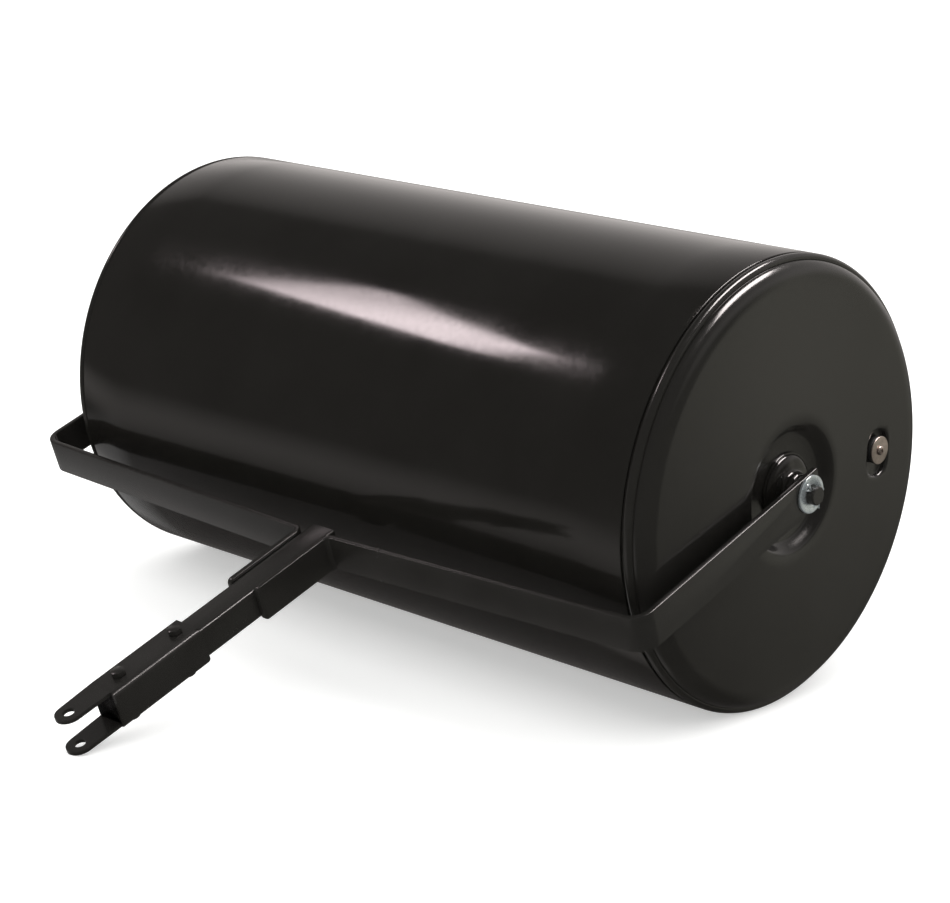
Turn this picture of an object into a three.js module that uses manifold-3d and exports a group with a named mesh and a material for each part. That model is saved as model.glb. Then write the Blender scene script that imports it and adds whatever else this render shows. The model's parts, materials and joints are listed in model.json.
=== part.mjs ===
// Tow-behind lawn roller: a water-ballast steel drum in a two-piece flat-bar frame,
// with a square tongue and a clevis hitch. Millimetres, +Z up, towed towards +X,
// drum axle along Y. Left and right are the machine's own, so left is +Y.
// The roller stands as it is parked: on its drum, with the tip of the hitch on the ground.
import * as THREE from 'three';
import { mergeVertices } from 'three/addons/utils/BufferGeometryUtils.js';
import Module from 'manifold-3d';

const wasm = await Module();
wasm.setup();

// ---- Drum ----
const DRUM_RADIUS = 228.6;        // 18 in drum
const DRUM_LENGTH = 780;          // between the two ends of the rolled shell
const SHEET = 2;                  // shell and heads
const SKIRT = 8;                  // depth of a head's skirt inside the shell
const BEAD = 5;                   // radius of the rolled seam bead
const SHOULDER_WIDTH = 22;        // the head's rounded shoulder, across and along the axle
const SHOULDER_HEIGHT = 13.5;
const FACE_START = 22.5;          // height of the head's face where the shoulder ends
const CROWN = 4.5;                // rise of the face from the shoulder to the centre
const RECESS_RADIUS = 67;         // hub recess, at the face
const RECESS_FLOOR_RADIUS = 53;
const RECESS_DEPTH = 10.5;
const DRUM_SIDES = 48;

// ---- Fits ----
const FIT = 0.3;                  // gap between pieces that touch
const RUNNING = 0.08;             // radial play of the axle in its bushes

// ---- Hub and axle ----
const AXLE_RADIUS = 9.5;
const AXLE_END = 8;               // axle past the outer washer
const AXLE_CHAMFER = 1;
const AXLE_TUBE_RADIUS = 15;
const AXLE_TUBE_WALL = 2.3;
const BOSS_BASE_RADIUS = 36;
const BOSS_WALL = 2.2;
const BOSS_NECK = 9;              // straight neck above the bell
const BUSH_LENGTH = 22;
const BUSH_FLANGE = 1.6;
const INNER_WASHER = 1.6;
const OUTER_WASHER = 2.5;
const WASHER_RADIUS = 19;
const ROUND_SIDES = 32;
const BOSS_SIDES = 32;

// ---- Cotter pins ----
const PIN_WIRE = 1.6;             // one leg's thickness
const PIN_HOLE = 2;               // radius of the cross hole in the axle
const PIN_EYE = 3.2;              // radius of the eye's middle line
const PIN_LEG = 12.5;             // reach of the leg that is bent back
const PIN_STEPS = 36;
const PIN_TURN = 30;              // degrees that each pin leans; the left one's eye leans forward

// ---- Frame: two halves bent from flat bar ----
const BAR_HEIGHT = 38;
const BAR = 6;
const ARM_GAP = 40;               // from the shell's end to the inner face of the arm beside it
const ARM_TAIL = 18;              // arm behind the axle
const CORNER_REACH = 262;         // axle to the front bar's outer face, at the corners
const TONGUE_REACH = 277;         // the same, at the tongue
const CORNER_BEND = 19;           // bend radii on the bar's middle line
const FLANGE_BEND = 8;
const FLANGE_END = 376;           // axle to the front end of the flanges
const FLANGE_ROUND = 5;

// ---- Tongue and hitch ----
const TONGUE_OFFSET = 20;         // tongue left of the drum's middle
const TUBE = 32;                  // square tube, outside
const TUBE_WALL = 2.6;
const TUBE_ROUND = 3;
const TUBE_START = 260;
const TUBE_END = 562;
const HITCH_START = 450;
const WEB_END = 564;
const EAR_HOLE = 604;             // axle to the draw pin's holes
const EAR_HALF_WIDTH = 14;
const EAR_HOLE_RADIUS = 6;
const HITCH_PLATE = 3.8;
const HITCH_BEND = 5;             // outer bend radius of the channel
const HITCH_REAR_ROUND = 6;

// ---- Hitch bolts ----
const BOLT_PLACES = { rear: 466, front: 540 };
const BOLT_RADIUS = 4;
const BOLT_LENGTH = 50;
const BOLT_HEAD = 5.3;
const HEX_FLATS = 13;
const NUT_HEIGHT = 6.5;
const LOCK_WASHER = 2;
const LOCK_WASHER_RADIUS = 7.3;

// ---- Filler plug ----
const PLUG_RADIUS_FROM_AXLE = 146;
const PLUG_ANGLE = 175;           // degrees from +X towards +Z, seen from the right
const PLUG_HOLE = 13.3;
const PLUG_BODY = 13;
const PLUG_LIP = 14;
const PLUG_PROUD = 6;             // rubber lip above the pocket's floor
const PLUG_INSIDE = 15;           // rubber below the pocket's floor
const PLUG_DISC_RADIUS = 14.5;
const PLUG_DISC = 1.7;
const POCKET_WIDTH = 33;
const POCKET_LENGTH = 48;
const POCKET_DROP = 3;            // pocket's middle below the plug's
const POCKET_DEPTH = 6;
const SCREW_RADIUS = 2.5;
const SCREW_HEAD_RADIUS = 4.6;
const SCREW_HEAD = 2.2;
const SCREW_TRAVEL = 3;           // free thread behind the nut
const CLAMP_WASHER = 1.5;
const CLAMP_WASHER_RADIUS = 10;
const PLUG_NUT = 4;
const PLUG_NUT_FLATS = 8;
const PLUG_SIDES = 32;

// ---- Worked out from the above ----
const halfLength = DRUM_LENGTH / 2;
const armInner = halfLength + ARM_GAP;
const armOuter = armInner + BAR;
const innerWasherStart = armInner - FIT - INNER_WASHER;
const bushOuterEnd = innerWasherStart - FIT;
const axleTubeEnd = bushOuterEnd - BUSH_FLANGE - FIT;
const bossEnd = axleTubeEnd - 2;
const washerStart = armOuter + FIT;
const axleHalf = washerStart + OUTER_WASHER + AXLE_END;
const pinPlace = washerStart + OUTER_WASHER + PIN_HOLE + PIN_WIRE / 2;
const boreRadius = AXLE_RADIUS + FIT;
const faceRadius = DRUM_RADIUS - SHEET - BEAD - SHOULDER_WIDTH + 1;
const plateTop = TUBE / 2 + FIT + HITCH_PLATE;
const webOuter = TUBE / 2 + FIT + HITCH_PLATE;
const earTip = EAR_HOLE + EAR_HALF_WIDTH;

// The tongue slopes down until the lower ear's tip is level with the drum's lowest line.
const tongueSlope = Math.asin(DRUM_RADIUS / Math.hypot(earTip, plateTop)) - Math.atan2(plateTop, earTip);
const foremost = earTip * Math.cos(tongueSlope) + plateTop * Math.sin(tongueSlope);
const axleX = (DRUM_RADIUS - foremost) / 2;

// ---- Materials ----
const paint = (color, roughness, metalness) =>
  new THREE.MeshStandardMaterial({ color, roughness, metalness });
const enamel = paint(0x1d1d1b, 0.18, 0.1);
const framePaint = paint(0x232321, 0.42, 0.1);
const zinc = paint(0xaab4b6, 0.35, 1);
const plainSteel = paint(0x96908a, 0.4, 1);
const rubber = paint(0x1a1a1a, 0.8, 0);
const nylon = paint(0xd8d5c8, 0.5, 0);

// ---- Solids ----

// Closed solid from a three.js geometry, faces turned out.
function solid(geometry) {
  const bare = geometry.clone();
  for (const name of ['normal', 'uv']) bare.deleteAttribute(name);
  const merged = mergeVertices(bare, 1e-4);
  const vertProperties = new Float32Array(merged.attributes.position.array);
  const triVerts = dropSlivers(merged.index.array);
  if (signedVolume(vertProperties, triVerts) < 0) triVerts.reverse();
  return new wasm.Manifold(new wasm.Mesh({ numProp: 3, vertProperties, triVerts }));
}

// Triangles with two corners on one vertex, as at a pole, are left out.
function dropSlivers(index) {
  const kept = [];
  for (let i = 0; i < index.length; i += 3) {
    const [a, b, c] = [index[i], index[i + 1], index[i + 2]];
    if (a !== b && b !== c && c !== a) kept.push(a, b, c);
  }
  return new Uint32Array(kept);
}

function signedVolume(points, index) {
  const [a, b, c] = [new THREE.Vector3(), new THREE.Vector3(), new THREE.Vector3()];
  let sum = 0;
  for (let i = 0; i < index.length; i += 3) {
    a.fromArray(points, 3 * index[i]);
    b.fromArray(points, 3 * index[i + 1]);
    c.fromArray(points, 3 * index[i + 2]);
    sum += a.dot(b.cross(c)) / 6;
  }
  return sum;
}

function geometryOf(body) {
  const { vertProperties, triVerts } = body.getMesh();
  const geometry = new THREE.BufferGeometry();
  geometry.setAttribute('position', new THREE.BufferAttribute(new Float32Array(vertProperties), 3));
  geometry.setIndex(new THREE.BufferAttribute(new Uint32Array(triVerts), 1));
  geometry.computeVertexNormals();
  return geometry;
}

// Turns a closed outline of [radius, height along Y] about the Y axis.
function turned(outline, sides) {
  const points = [...outline, outline[0]].map(([r, y]) => new THREE.Vector2(r, y));
  return solid(new THREE.LatheGeometry(points, sides));
}

const ring = (inner, outer, from, to, sides) =>
  turned([[inner, from], [outer, from], [outer, to], [inner, to]], sides);

// Round bar along Y, centred on (x, z).
function rod(radius, from, to, sides, x = 0, z = 0) {
  const geometry = new THREE.CylinderGeometry(radius, radius, to - from, sides);
  return solid(geometry.translate(x, (from + to) / 2, z));
}

// Upright round bar along Z, centred on (x, y).
function post(radius, from, to, sides, x, y) {
  const geometry = new THREE.CylinderGeometry(radius, radius, to - from, sides).rotateX(Math.PI / 2);
  return solid(geometry.translate(x, y, (from + to) / 2));
}

// Flat outline in X and Y, raised from one height to another.
function slab(outline, from, to) {
  const shape = new THREE.Shape(outline.map(([x, y]) => new THREE.Vector2(x, y)));
  const geometry = new THREE.ExtrudeGeometry(shape, { depth: to - from, bevelEnabled: false });
  return solid(geometry.translate(0, 0, from));
}

// Section in Y and Z, run along X.
function bar(outline, from, to) {
  const turn = new THREE.Matrix4().makeBasis(axis(0, 1, 0), axis(0, 0, 1), axis(1, 0, 0));
  const shape = new THREE.Shape(outline.map(([y, z]) => new THREE.Vector2(y, z)));
  const geometry = new THREE.ExtrudeGeometry(shape, { depth: to - from, bevelEnabled: false });
  return solid(geometry.applyMatrix4(turn).translate(from, 0, 0));
}

// Outline in X and Z, run along Y.
function wall(outline, from, to) {
  const turn = new THREE.Matrix4().makeBasis(axis(1, 0, 0), axis(0, 0, 1), axis(0, -1, 0));
  const shape = new THREE.Shape(outline.map(([x, z]) => new THREE.Vector2(x, z)));
  const geometry = new THREE.ExtrudeGeometry(shape, { depth: to - from, bevelEnabled: false });
  return solid(geometry.applyMatrix4(turn).translate(0, to, 0));
}

const axis = (x, y, z) => new THREE.Vector3(x, y, z);

// Points on an arc, angles in degrees from the first axis towards the second.
function arc(x, y, radius, start, end, steps) {
  return Array.from({ length: steps + 1 }, (_, i) => {
    const a = THREE.MathUtils.degToRad(start + (end - start) * i / steps);
    return [x + radius * Math.cos(a), y + radius * Math.sin(a)];
  });
}

// Rectangle with rounded corners, centred on (x, y).
function roundedRectangle(width, height, round, steps, x = 0, y = 0) {
  const [a, b] = [width / 2 - round, height / 2 - round];
  return [
    ...arc(x + a, y + b, round, 0, 90, steps),
    ...arc(x - a, y + b, round, 90, 180, steps),
    ...arc(x - a, y - b, round, 180, 270, steps),
    ...arc(x + a, y - b, round, 270, 360, steps),
  ];
}

const hexagon = (flats, x = 0, y = 0) => arc(x, y, flats / Math.sqrt(3), 0, 300, 5);

// Outline of a strip bent along a line: straight runs joined by arcs.
function bentStrip(line, bends, thickness) {
  const sides = { 1: [], [-1]: [] };
  const direction = (a, b) => new THREE.Vector2().subVectors(b, a).normalize();
  const p = line.map(([x, y]) => new THREE.Vector2(x, y));
  const put = (point, along) => {
    for (const s of [1, -1]) {
      sides[s].push([point.x - s * along.y * thickness / 2, point.y + s * along.x * thickness / 2]);
    }
  };
  put(p[0], direction(p[0], p[1]));
  for (let i = 1; i < p.length - 1; i++) {
    const [before, after] = [direction(p[i - 1], p[i]), direction(p[i], p[i + 1])];
    const angle = Math.atan2(before.cross(after), before.dot(after));
    const [turn, radius] = [Math.sign(angle), bends[i - 1]];
    const start = p[i].clone().addScaledVector(before, -radius * Math.tan(Math.abs(angle) / 2));
    const centre = start.clone().add(new THREE.Vector2(-before.y, before.x).multiplyScalar(turn * radius));
    const steps = 8;
    for (let k = 0; k <= steps; k++) {
      const along = before.clone().rotateAround(new THREE.Vector2(), angle * k / steps);
      const out = new THREE.Vector2(along.y, -along.x).multiplyScalar(turn * radius);
      put(centre.clone().add(out), along);
    }
  }
  put(p[p.length - 1], direction(p[p.length - 2], p[p.length - 1]));
  return [...sides[1], ...sides[-1].reverse()];
}

// ---- Drum pieces, about the axle at the origin ----

function drumShell() {
  return ring(DRUM_RADIUS - SHEET, DRUM_RADIUS, -halfLength, halfLength, DRUM_SIDES);
}

// Height of a head's outer face above the shell's end.
function faceHeight(r) {
  const crown = (radius) => FACE_START + CROWN * (1 - (radius / faceRadius) ** 2);
  if (r >= RECESS_RADIUS) return crown(r);
  const floor = crown(RECESS_RADIUS) - RECESS_DEPTH;
  const t = THREE.MathUtils.clamp((r - RECESS_FLOOR_RADIUS) / (RECESS_RADIUS - RECESS_FLOOR_RADIUS), 0, 1);
  return floor + RECESS_DEPTH * t * t * (3 - 2 * t);
}

const recessFloor = faceHeight(0);

// A pressed head: skirt, rolled bead, shoulder, crowned face and hub recess.
function headBlank() {
  const skirt = DRUM_RADIUS - SHEET - FIT;
  const bead = arc(DRUM_RADIUS - BEAD, BEAD + FIT, BEAD, -57, 100, 5);
  const shoulder = (inset) => arc(0, 0, 1, 0, 87, 5).map(([across, along]) => [
    faceRadius + (SHOULDER_WIDTH - inset) * across,
    FACE_START - SHOULDER_HEIGHT + (SHOULDER_HEIGHT - inset) * along,
  ]);
  const between = (from, to, share) => from + (to - from) * share;
  const stations = [
    between(faceRadius, RECESS_RADIUS, 1 / 4), between(faceRadius, RECESS_RADIUS, 5 / 8), RECESS_RADIUS,
    ...[1 / 4, 1 / 2, 3 / 4].map((share) => between(RECESS_RADIUS, RECESS_FLOOR_RADIUS, share)),
    RECESS_FLOOR_RADIUS, AXLE_TUBE_RADIUS + FIT,
  ];
  const outer = [[skirt, -SKIRT], ...bead, ...shoulder(0), ...stations.map((r) => [r, faceHeight(r)])];
  const inner = [
    ...stations.map((r) => [r, faceHeight(r) - SHEET]).reverse(),
    ...shoulder(SHEET).reverse(),
    [skirt - SHEET, SHEET],
    [skirt - SHEET, -SKIRT],
  ];
  const outline = [...outer, ...inner].map(([r, height]) => [r, halfLength + height]);
  return turned(outline, DRUM_SIDES);
}

const plugX = PLUG_RADIUS_FROM_AXLE * Math.cos(THREE.MathUtils.degToRad(PLUG_ANGLE));
const plugZ = PLUG_RADIUS_FROM_AXLE * Math.sin(THREE.MathUtils.degToRad(PLUG_ANGLE));
const plugSeat = halfLength + faceHeight(PLUG_RADIUS_FROM_AXLE) - POCKET_DEPTH;

// The left head has a pressed pocket and a hole for the filler plug.
function headWithPocket() {
  const pocket = (grow) => roundedRectangle(
    POCKET_WIDTH + 2 * grow, POCKET_LENGTH + 2 * grow, POCKET_WIDTH / 2 + grow, 6,
    plugX, plugZ - POCKET_DROP);
  const nearFace = PLUG_RADIUS_FROM_AXLE + POCKET_LENGTH / 2;
  const lip = halfLength + faceHeight(nearFace) - FIT;
  const cup = wall(pocket(SHEET), plugSeat - SHEET, lip);
  const hollow = wall(pocket(0), plugSeat, plugSeat + FACE_START);
  const hole = rod(PLUG_HOLE, plugSeat - FACE_START, plugSeat + FACE_START, PLUG_SIDES, plugX, plugZ);
  return headBlank().add(cup).subtract(hollow).subtract(hole);
}

// Bell-shaped hub pressing, from the recess floor to the neck at the axle tube's end.
function hubBoss() {
  const base = halfLength + recessFloor + FIT;
  const top = bossEnd - base;
  const inside = AXLE_TUBE_RADIUS + FIT;
  const neck = inside + BOSS_WALL;
  const bellTop = top - BOSS_NECK;
  const outer = [
    [BOSS_BASE_RADIUS, 0], [BOSS_BASE_RADIUS, BOSS_WALL],
    ...arc(0, 0, 1, 0, 66, 5).map(([across, along]) => [
      neck + (BOSS_BASE_RADIUS - 2 - neck) * across, BOSS_WALL + (bellTop - BOSS_WALL) * along]),
    [neck + 2.6, bellTop + 0.6], [neck + 0.8, bellTop + 1.8], [neck, bellTop + 3.6],
  ];
  const inner = [
    [inside, bellTop - 3], [inside + 6, bellTop - 3.6],
    [BOSS_BASE_RADIUS - 5, BOSS_WALL], [BOSS_BASE_RADIUS - 5, 0],
  ];
  const outline = [...outer, [neck, top - 1], [neck - 1, top], [inside, top], ...inner];
  return turned(outline.map(([r, height]) => [r, base + height]), BOSS_SIDES);
}

function axleTube() {
  return ring(AXLE_TUBE_RADIUS - AXLE_TUBE_WALL, AXLE_TUBE_RADIUS, -axleTubeEnd, axleTubeEnd, ROUND_SIDES);
}

function flangedBush() {
  const bore = AXLE_RADIUS + RUNNING;
  const sleeve = AXLE_TUBE_RADIUS - AXLE_TUBE_WALL - FIT;
  const shoulder = bushOuterEnd - BUSH_FLANGE;
  const start = shoulder - BUSH_LENGTH;
  return turned([
    [bore, start], [sleeve, start], [sleeve, shoulder],
    [AXLE_TUBE_RADIUS, shoulder], [AXLE_TUBE_RADIUS, bushOuterEnd], [bore, bushOuterEnd],
  ], ROUND_SIDES);
}

// ---- Filler plug pieces, about the plug's own axis along Y ----

const screwClearance = SCREW_RADIUS + FIT;
const discStart = plugSeat + PLUG_PROUD + FIT;
const discEnd = discStart + PLUG_DISC;
const plugInnerEnd = plugSeat - PLUG_INSIDE;
const clampStart = plugInnerEnd - FIT - CLAMP_WASHER;
const plugNutStart = clampStart - FIT - PLUG_NUT;

function plugBody() {
  const lip = plugSeat + FIT;
  return turned([
    [screwClearance, plugInnerEnd], [PLUG_BODY - 1.5, plugInnerEnd], [PLUG_BODY, plugInnerEnd + 2],
    [PLUG_BODY, lip], [PLUG_LIP, lip],
    [PLUG_LIP, lip + PLUG_PROUD - FIT], [screwClearance, lip + PLUG_PROUD - FIT],
  ], PLUG_SIDES);
}

const plugDisc = () => ring(screwClearance, PLUG_DISC_RADIUS, discStart, discEnd, PLUG_SIDES);
const clampWasher = () =>
  ring(screwClearance, CLAMP_WASHER_RADIUS, clampStart, clampStart + CLAMP_WASHER, PLUG_SIDES);

function plugNut() {
  const blank = wall(hexagon(PLUG_NUT_FLATS), plugNutStart, plugNutStart + PLUG_NUT);
  return blank.subtract(rod(screwClearance, plugNutStart - 1, plugNutStart + PLUG_NUT + 1, 16));
}

// Pan-head screw with a cross slot.
function plugScrew() {
  const seat = discEnd + FIT;
  const top = seat + SCREW_HEAD;
  const shank = rod(SCREW_RADIUS, plugNutStart - SCREW_TRAVEL, seat + 0.5, 16);
  const head = turned([
    [0, seat], [SCREW_HEAD_RADIUS, seat], [SCREW_HEAD_RADIUS, top - 0.9],
    [SCREW_HEAD_RADIUS - 1, top], [0, top],
  ], 24);
  const slot = (w, d) => wall(roundedRectangle(w, d, 0.2, 1), top - 1.2, top + 1);
  return shank.add(head).subtract(slot(5, 1.1)).subtract(slot(1.1, 5));
}

// ---- Axle pieces, in the frame ----

function axle() {
  const outline = [
    [0, -axleHalf], [AXLE_RADIUS - AXLE_CHAMFER, -axleHalf], [AXLE_RADIUS, -axleHalf + AXLE_CHAMFER],
    [AXLE_RADIUS, axleHalf - AXLE_CHAMFER], [AXLE_RADIUS - AXLE_CHAMFER, axleHalf], [0, axleHalf],
  ];
  const reach = 2 * AXLE_RADIUS;
  const crossHole = (end) =>
    post(PIN_HOLE, -reach, reach, 16, 0, end * pinPlace).rotate([0, end * PIN_TURN, 0]);
  return turned(outline, ROUND_SIDES).subtract(crossHole(1)).subtract(crossHole(-1));
}

const innerWasher = () =>
  ring(boreRadius, WASHER_RADIUS - 2, innerWasherStart, innerWasherStart + INNER_WASHER, ROUND_SIDES);
const outerWasher = () =>
  ring(boreRadius, WASHER_RADIUS, washerStart, washerStart + OUTER_WASHER, ROUND_SIDES);

// Split pin: an eye above the axle, two legs through it, one bent back and one forward.
function cotterPin() {
  const gap = PIN_WIRE / 2 + 0.1;
  const below = -AXLE_RADIUS - 1.5;
  const eyeCentre = AXLE_RADIUS + 2 + PIN_EYE;
  const eye = arc(0, eyeCentre, PIN_EYE, -60, 240, 10);
  const line = [
    [6, below - 5], [3.4, below - 2.6], [gap, below + 1], [gap, 0], [gap, AXLE_RADIUS - 1],
    ...eye,
    [-gap, AXLE_RADIUS - 1], [-gap, 0], [-gap, below + 1], [-3.4, below - 1], [-8, below + 0.6],
    [-PIN_LEG, below + 3],
  ];
  const knots = line.map(([x, z]) => new THREE.Vector3(x, pinPlace, z));
  const path = new THREE.CatmullRomCurve3(knots, false, 'centripetal');
  const wire = arc(0, 0, PIN_WIRE / 2, 0, 300, 5).map(([x, y]) => new THREE.Vector2(x, y));
  const sweep = { steps: PIN_STEPS, extrudePath: path, bevelEnabled: false };
  const geometry = new THREE.ExtrudeGeometry(new THREE.Shape(wire), sweep);
  return solid(geometry).rotate([0, PIN_TURN, 0]);
}

// ---- Frame halves, in the frame's own level ----

// One half: side arm, front bar and the flange that lies along the tongue.
function frameHalf(side) {
  const armLine = side * (armOuter - BAR / 2);
  const flangeLine = TONGUE_OFFSET + side * (TUBE / 2 + FIT + BAR / 2);
  const line = [
    [-ARM_TAIL, armLine], [CORNER_REACH - BAR / 2, armLine], [TONGUE_REACH - BAR / 2, flangeLine],
    [FLANGE_END, flangeLine],
  ];
  const strip = slab(bentStrip(line, [CORNER_BEND, FLANGE_BEND], BAR), -BAR_HEIGHT / 2, BAR_HEIGHT / 2);
  const [from, to] = side > 0 ? [armInner - BAR, armOuter + BAR] : [-armOuter - BAR, -armInner + BAR];
  const bore = rod(boreRadius, from, to, ROUND_SIDES);
  const [low, high] = [flangeLine - BAR, flangeLine + BAR];
  const corner = (end) =>
    cornerCutter(FLANGE_END, end * BAR_HEIGHT / 2, FLANGE_ROUND, 1, end, low, high);
  return strip.subtract(bore).subtract(corner(1)).subtract(corner(-1));
}

// Takes a corner off a plate that stands in X and Z, leaving it round.
function cornerCutter(x, z, round, alongX, alongZ, from, to) {
  const [cx, cz] = [x - alongX * round, z - alongZ * round];
  const curve = arc(0, 0, round, 0, 90, 5).map(([a, b]) => [cx + alongX * a, cz + alongZ * b]);
  const over = round + 1;
  return wall([...curve, [cx, cz + alongZ * over], [cx + alongX * over, cz + alongZ * over],
    [cx + alongX * over, cz]], from, to);
}

// ---- Tongue and hitch ----

function boltHoles(body, reach) {
  return Object.values(BOLT_PLACES).reduce(
    (cut, x) => cut.subtract(post(BOLT_RADIUS + FIT, -reach, reach, 24, x, TONGUE_OFFSET)), body);
}

function tongueTube() {
  const outside = bar(roundedRectangle(TUBE, TUBE, TUBE_ROUND, 3, TONGUE_OFFSET), TUBE_START, TUBE_END);
  const bore = TUBE - 2 * TUBE_WALL;
  const inside = bar(roundedRectangle(bore, bore, 1, 2, TONGUE_OFFSET), TUBE_START - 1, TUBE_END + 1);
  return boltHoles(outside.subtract(inside), TUBE);
}

// Channel folded round the tube's top, left side and bottom, its two plates run on as ears.
function hitchChannel() {
  const right = -TUBE / 2;
  const inside = plateTop - HITCH_PLATE;
  const middle = TONGUE_OFFSET;
  const section = [
    ...arc(middle + webOuter - HITCH_BEND, plateTop - HITCH_BEND, HITCH_BEND, 0, 90, 4),
    [middle + right, plateTop], [middle + right, inside],
    ...arc(middle + inside - 1.2, inside - 1.2, 1.2, 90, 0, 2),
    ...arc(middle + inside - 1.2, -inside + 1.2, 1.2, 0, -90, 2),
    [middle + right, -inside], [middle + right, -plateTop],
    ...arc(middle + webOuter - HITCH_BEND, -plateTop + HITCH_BEND, HITCH_BEND, -90, 0, 4),
  ];
  const ear = [
    [WEB_END - 4, middle - TUBE / 2], ...arc(EAR_HOLE, middle, EAR_HALF_WIDTH, -90, 90, 12),
    [WEB_END + 6, middle + EAR_HALF_WIDTH + 0.5], [WEB_END - 4, middle + EAR_HALF_WIDTH + 0.5],
  ];
  const plates = slab(ear, inside, plateTop).add(slab(ear, -plateTop, -inside));
  const pinHole = post(EAR_HOLE_RADIUS, -2 * plateTop, 2 * plateTop, 32, EAR_HOLE, middle);
  const channel = bar(section, HITCH_START, WEB_END).add(plates).subtract(pinHole);
  const rounded = [1, -1].reduce(
    (body, end) => body.subtract(cornerCutter(HITCH_START, end * plateTop, HITCH_REAR_ROUND, -1, end,
      middle + inside - 1, middle + webOuter + 1)),
    channel);
  return boltHoles(rounded, 2 * plateTop);
}

// Hex bolt with its head on the top plate.
function hitchBolt(x) {
  const seat = plateTop + FIT;
  const shank = post(BOLT_RADIUS, seat - BOLT_LENGTH, seat + 1, 24, x, TONGUE_OFFSET);
  return slab(hexagon(HEX_FLATS, x, TONGUE_OFFSET), seat, seat + BOLT_HEAD).add(shank);
}

function lockWasher(x) {
  const top = -plateTop - FIT;
  const body = post(LOCK_WASHER_RADIUS, top - LOCK_WASHER, top, 24, x, TONGUE_OFFSET);
  return body.subtract(
    post(BOLT_RADIUS + FIT, top - 2 * LOCK_WASHER, top + LOCK_WASHER, 24, x, TONGUE_OFFSET));
}

function hitchNut(x) {
  const top = -plateTop - LOCK_WASHER - 2 * FIT;
  const body = slab(hexagon(HEX_FLATS, x, TONGUE_OFFSET), top - NUT_HEIGHT, top);
  return body.subtract(
    post(BOLT_RADIUS + FIT, top - 2 * NUT_HEIGHT, top + NUT_HEIGHT, 24, x, TONGUE_OFFSET));
}

// ---- Assembly ----

function mesh(name, body, material) {
  const piece = new THREE.Mesh(geometryOf(body), material);
  piece.name = name;
  return piece;
}

// The same piece on both ends: built for the left, turned half round for the right.
function pair(name, build, material) {
  const left = mesh(`${name}_left`, build(), material);
  const right = mesh(`${name}_right`, build(), material);
  right.rotation.z = Math.PI;
  return [left, right];
}

// A pair in the frame, where the right piece is the left one mirrored end for end.
function mirrored(name, build, material) {
  const left = mesh(`${name}_left`, build(), material);
  const right = mesh(`${name}_right`, build().mirror([0, 1, 0]), material);
  return [left, right];
}

function drum() {
  const group = new THREE.Group();
  const rightHead = mesh('drum_head_right', headBlank(), enamel);
  rightHead.rotation.z = Math.PI;
  group.add(
    mesh('drum_shell', drumShell(), enamel),
    mesh('drum_head_left', headWithPocket(), enamel), rightHead,
    ...pair('hub_boss', hubBoss, enamel),
    mesh('axle_tube', axleTube(), framePaint),
    ...pair('axle_bush', flangedBush, nylon), fillerPlug());
  return group;
}

function fillerPlug() {
  const group = new THREE.Group();
  group.position.set(plugX, 0, plugZ);
  group.add(
    mesh('plug_body', plugBody(), rubber),
    mesh('plug_disc', plugDisc(), plainSteel),
    mesh('plug_screw', plugScrew(), plainSteel),
    mesh('plug_clamp_washer', clampWasher(), plainSteel),
    mesh('plug_nut', plugNut(), plainSteel));
  return group;
}

function frame() {
  const group = new THREE.Group();
  group.add(
    mesh('axle', axle(), framePaint),
    ...mirrored('inner_washer', innerWasher, zinc),
    ...mirrored('outer_washer', outerWasher, zinc),
    ...pair('cotter_pin', cotterPin, zinc),
    mesh('frame_bar_left', frameHalf(1), framePaint),
    mesh('frame_bar_right', frameHalf(-1), framePaint),
    mesh('tongue_tube', tongueTube(), framePaint),
    mesh('hitch_channel', hitchChannel(), framePaint));
  for (const [place, x] of Object.entries(BOLT_PLACES)) {
    group.add(
      mesh(`hitch_bolt_${place}`, hitchBolt(x), framePaint),
      mesh(`hitch_lock_washer_${place}`, lockWasher(x), framePaint),
      mesh(`hitch_nut_${place}`, hitchNut(x), framePaint));
  }
  group.rotation.y = tongueSlope;
  return group;
}

const roller = new THREE.Group();
roller.position.set(axleX, 0, DRUM_RADIUS);
roller.add(drum(), frame());

export default roller;
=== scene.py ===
"""Looks of a tow-behind lawn roller: enamelled drum, flat-bar frame, tongue and clevis hitch."""

import json
import logging
import math
from dataclasses import dataclass, field
from enum import Enum
from typing import Any, Callable, Sequence

import bmesh
import bpy
from mathutils import Matrix, Vector

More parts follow.
